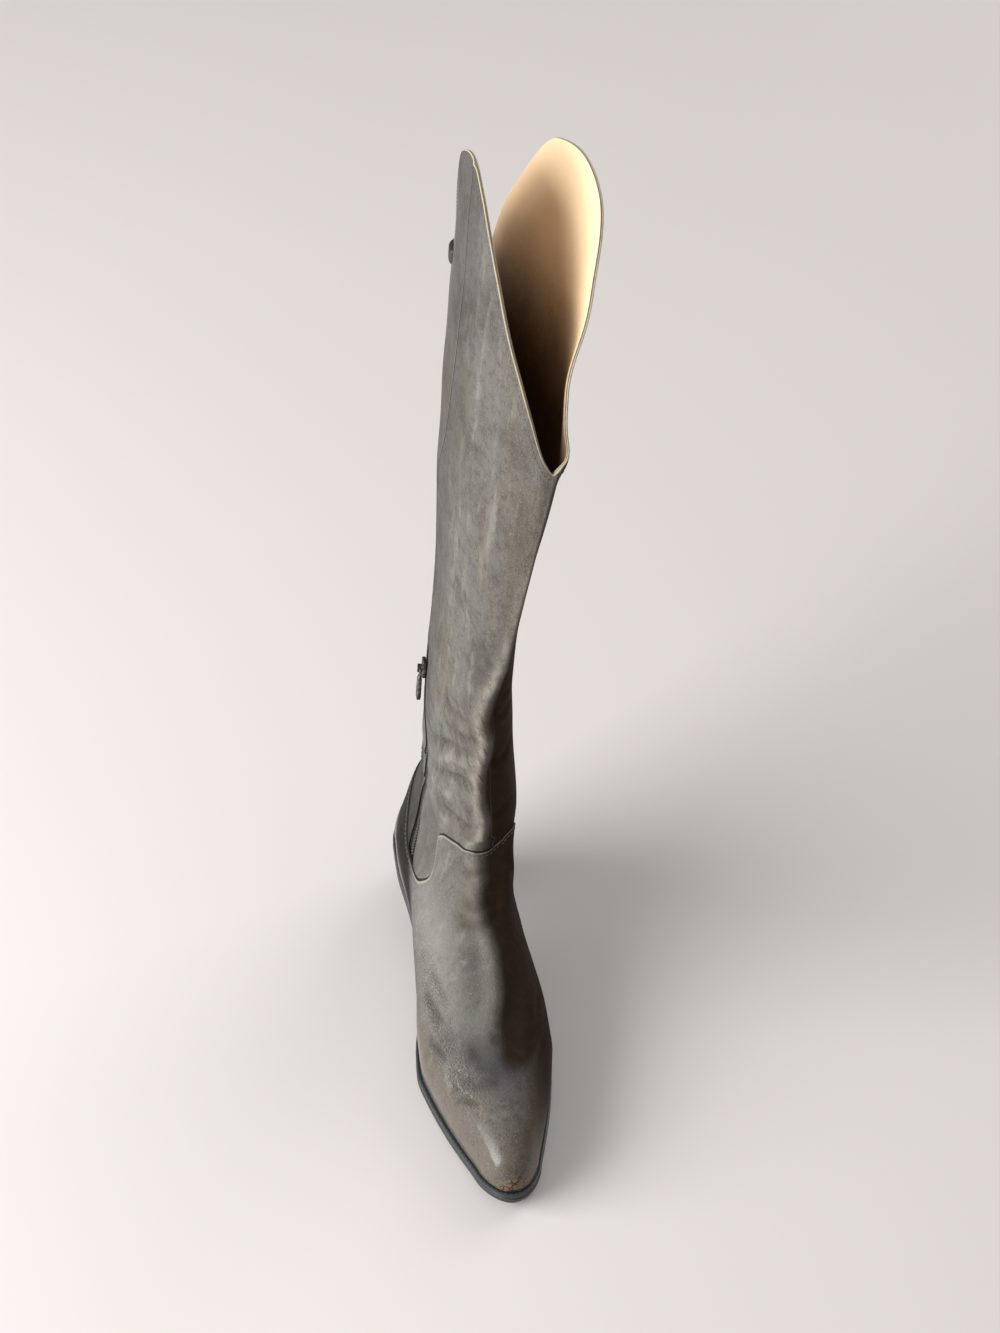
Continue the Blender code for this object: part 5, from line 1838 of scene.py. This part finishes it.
@dataclass
class Zip:
    """Tape, teeth, slider and pull of the zip on the big-toe side."""

    last: Last
    relief: Relief
    finishes: Finishes
    frame: dict[str, Any]
    low: float = 0.535
    high: float = 1.234
    tape_half: float = 9.5
    tape_front: float = 2.95
    tape_back: float = 3.7
    tooth_pitch: float = 1.9
    tooth: tuple[float, float, float] = (1.9, 0.84, 1.3)
    tooth_depth: float = 2.0
    tooth_shift: float = 0.62
    tongue_start: float = 4.0
    tongue_end: float = 21.0
    tongue_half: float = 3.3
    neck_half: float = 1.9
    tongue_thick: float = 3.1
    eye_half: float = 2.15
    eye_middle: float = 2.3
    eye_power: float = 0.6
    wire_half: float = 0.55

    def tape(self) -> None:
        """Build the tape: a strip behind the slot, closed by a second face under it.

        The strip's points lie at a depth under the last, on a grid of angles by levels.
        """
        turns = np.linspace(-self.tape_half, self.tape_half, 25)
        level = np.repeat(np.linspace(self.low, self.high, 150)[:, None], len(turns), axis=1)
        angle = self.last.zip_at(level) + turns
        depths = (self.tape_front, self.tape_back)
        front, back = (self.relief.under(angle, level, depth)[0] for depth in depths)
        made = Maker.strip("zip_tape_woven", front, back, self.finishes.tape)
        base = self.last.surface(angle, level)
        degree = np.linalg.norm(np.diff(base, axis=1), axis=-1).mean() / (turns[1] - turns[0])
        across = np.broadcast_to(turns, level.shape) * degree
        steps = np.linalg.norm(np.diff(base, axis=0, prepend=base[:1]), axis=-1)
        for name, values in (("across_mm", across), ("along_mm", np.cumsum(steps, axis=0))):
            Maker.field(made, name, np.concatenate([values, values[:, ::-1]], axis=1))
        mount(made, "zip_tape")

    def teeth(self) -> None:
        """Build the closed chain: teeth from both sides in turn, each a bevelled block."""
        levels = np.linspace(self.low + 0.01, self.high - 0.014, 700)
        path, normals = self.relief.under(self.last.zip_at(levels), levels, self.tooth_depth)
        line = Line(path)
        places = np.arange(1.0, line.far[-1] - 1.0, self.tooth_pitch / 2)
        centre, out = line.at(places), line.at(places, normals)
        along = unit(line.at(places + 0.5) - centre)
        across = unit(np.cross(out, along))
        side = np.where(np.arange(len(places)) % 2 == 0, 1.0, -1.0)[:, None]
        frames = np.stack([across, along, out], 1) * np.array(self.tooth)[:, None]
        centre = centre + across * side * self.tooth_shift
        points, quads = Maker.copies(*self.block(), centre, frames)
        made = Maker.mesh("zip_teeth", points, quads, self.finishes.teeth)
        made.data.shade_flat()
        mount(made, "zip_chain")

    @staticmethod
    def block() -> tuple[Array, Array]:
        """Points and quads of a block with a chamfered top, in units of its size."""
        corners = np.array([(-1, -1), (1, -1), (1, 1), (-1, 1)]) / 2
        rings = ((1.0, -0.5), (1.0, 0.15), (0.72, 0.5))
        points = np.concatenate([with_height(corners * share, z) for share, z in rings])
        caps = np.array([(3, 2, 1, 0), (8, 9, 10, 11)])
        return points, np.concatenate([grid_quads(3, 4), caps])

    def pull(self) -> None:
        """Build the pull: a wire eye round the slider's crown and a thick tongue.

        Both are drawn in the pull's own axes, across the slider, down the pull and out of it.
        """
        joint = self.frame["joints"][0]
        node = self.frame["nodes"]["zip_pull"]
        corners = np.array([node.matrix_world @ vertex.co for vertex in node.data.vertices]) / MM
        pivot = np.array(joint["pos_m"]) / MM
        across = -np.array(joint["axis"])
        down = corners.mean(0) - pivot
        down = down - across * (down @ across)
        down = down / np.linalg.norm(down)
        axes = np.array([across, down, np.cross(across, -down)])
        tongue, quads = self.tongue()
        made = Maker.mesh("zip_pull_tongue", pivot + tongue @ axes, quads, self.finishes.metal)
        wire, quads = self.eye()
        eye = Maker.mesh("zip_pull_eye", pivot + wire @ axes, quads, self.finishes.metal)
        for piece, replaced in ((made, "zip_pull"), (eye, "")):
            Maker.outwards(piece)
            mount(piece, replaced, Body.PULL)

    def tongue(self) -> tuple[Array, Array]:
        """Points and quads of the tongue, with a rolled rim.

        Its outline is half wide(y) = neck + (end - neck) sin(pi / 2 s), rounded off at the end by a
        quarter circle. Its thickness is highest at the rim and dished between the rims.
        """
        share, turn = np.linspace(0, 1, 30), full_turn(32)
        far = self.tongue_start + (self.tongue_end - self.tongue_start) * (1 - (1 - share) ** 1.6)
        flare = np.sin(np.pi / 2 * np.clip(share * 1.5, 0, 1))
        wide = self.neck_half + (self.tongue_half - self.neck_half) * flare
        past = np.clip((far - self.tongue_end + wide) / wide, 0, 1)
        ends = np.sqrt(np.clip(1 - past**2, 0.004, 1))
        side = power_wave(np.cos(turn), 0.7)
        dish = 0.62 + 0.38 * abs(np.cos(turn)) ** 0.8 * 1.6
        start = smooth(share / 0.10) * 0.75 + 0.25
        x = side * (wide * ends)[:, None]
        thick = self.tongue_thick / 2 * start * np.sqrt(ends)
        z = power_wave(np.sin(turn), 0.8) * dish * thick[:, None]
        points = np.stack([x, np.broadcast_to(far[:, None], x.shape), z], -1)
        low = (len(share) - 1) * len(turn)
        caps = [cap_quads(0, len(turn), True), cap_quads(low, len(turn), False)]
        return points, np.concatenate([grid_quads(*x.shape), *caps])

    def eye(self) -> tuple[Array, Array]:
        """Points and quads of the eye: a round wire around a rounded square loop."""
        bend, turn = full_turn(40), full_turn(10)
        x = power_wave(np.cos(bend), self.eye_power) * self.eye_half
        y = self.eye_middle - power_wave(np.sin(bend), self.eye_power) * self.eye_middle
        centre = np.stack([x, y], -1)
        tangent = unit(np.roll(centre, -1, 0) - np.roll(centre, 1, 0))
        aside = np.stack([tangent[:, 1], -tangent[:, 0]], -1)
        flat = centre[:, None] + (np.cos(turn) * self.wire_half)[:, None] * aside[:, None]
        high = np.broadcast_to(np.sin(turn) * self.wire_half, flat.shape[:2])
        points = np.concatenate([flat, high[..., None]], -1)
        return points, grid_quads(*points.shape[:2], wrap_rows=True)

    def build(self) -> None:
        """Build the zip, its pull, and dress its slider."""
        self.tape()
        self.teeth()
        self.pull()
        node = self.frame["nodes"]["zip_slider"]
        node.data.materials.clear()
        node.data.materials.append(self.finishes.metal)


class Light(NamedTuple):
    """A soft light: its place, its width and height in metres, its power and its colour."""

    name: str
    place: tuple[float, float, float]
    size: tuple[float, float]
    power: float
    colour: Colour


LIGHTS = rows(
    Light,
    ("key", (-2.35, -0.36, 1.68), (2.6, 0.9), 66.0, (1.0, 0.985, 0.965)),
    ("top", (0.25, 0.25, 3.0), (2.4, 2.4), 10.0, (1.0, 0.97, 0.95)),
    ("fill", (2.2, 1.5, 1.9), (2.0, 2.0), 34.0, (1.0, 0.98, 0.96)),
    ("window", (-1.60, -0.30, 0.55), (1.4, 0.60), 30.0, (1.0, 1.0, 1.0)),
)


@dataclass
class Studio:
    """Floor, lights and camera."""

    eye: tuple[float, float, float] = (-0.1934, -1.005, 1.1828)
    ahead: tuple[float, float, float] = (0.111, 0.698, -0.707)
    turn_right: float = 0.0478
    turn_up: float = 0.0187
    lens: float = 64.4
    sensor: float = 36.0
    floor_half: float = 4.0
    aim: tuple[float, float, float] = (0.0, -0.06, 0.22)
    sky: Colour = (1.0, 0.95, 0.92)
    sky_power: float = 0.30

    def floor(self) -> None:
        """Lay the floor."""
        corners = np.array([(-1, -1, 0), (1, -1, 0), (1, 1, 0), (-1, 1, 0)], dtype=float)
        half = self.floor_half / MM
        Maker.mesh("floor", corners * half, np.array([(0, 1, 2, 3)]), Ground().build())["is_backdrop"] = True

    @staticmethod
    def place(name: str, data: Any) -> bpy.types.Object:
        """Put a light or a camera into the scene."""
        made = bpy.data.objects.new(name, data)
        bpy.context.scene.collection.objects.link(made)
        return made

    def light(self, light: Light) -> None:
        """Hang a soft light that faces the boot."""
        data = bpy.data.lights.new(light.name, "AREA")
        data.shape = "RECTANGLE"
        data.size, data.size_y = light.size
        data.energy = light.power
        data.color = light.colour
        made = self.place(light.name, data)
        made.location = light.place
        facing = Vector(self.aim) - made.location
        made.rotation_euler = facing.to_track_quat("-Z", "Y").to_euler()

    def camera(self) -> None:
        """Aim the camera at the middle of the boot, without shift."""
        ahead = Vector(self.ahead).normalized()
        right = ahead.cross(Vector((0, 0, 1))).normalized()
        up = right.cross(ahead)
        aim = (ahead + right * self.turn_right + up * self.turn_up).normalized()
        side = aim.cross(up).normalized()
        data = bpy.data.cameras.new("camera")
        data.lens = self.lens
        data.sensor_width = self.sensor
        made = self.place("camera", data)
        axes = Matrix((side, side.cross(aim), -aim)).transposed()
        made.matrix_world = Matrix.Translation(self.eye) @ axes.to_4x4()
        bpy.context.scene.camera = made

    def build(self) -> None:
        """Set up the studio."""
        self.floor()
        for light in LIGHTS:
            self.light(light)
        world = bpy.data.worlds.new("world")
        world.use_nodes = True
        back = world.node_tree.nodes["Background"]
        back.inputs["Color"].default_value = (*self.sky, 1.0)
        back.inputs["Strength"].default_value = self.sky_power
        bpy.context.scene.world = world
        bpy.context.scene.view_settings.view_transform = "Standard"
        self.camera()


def corners() -> list[list[float]]:
    """Return the lowest and highest corner of what is shown, as plain lists."""
    return [[float(value) for value in corner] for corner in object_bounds()]


def main() -> None:
    """Build the boot piece by piece, then the studio around it."""
    logging.basicConfig(level=logging.INFO, format="%(message)s")
    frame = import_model()
    finishes = Finishes()
    last = Last()
    relief = Relief(last)
    steps = (
        Upper(last, relief, finishes),
        Tab(last, finishes),
        Stitching(last, relief, finishes),
        SoleUnit(last, finishes),
        Heel(last, finishes),
        Zip(last, relief, finishes, frame),
        Studio(),
    )
    for step in steps:
        step.build()
        LOG.info("built: %s", type(step).__name__)


if __name__ == "__main__":
    main()
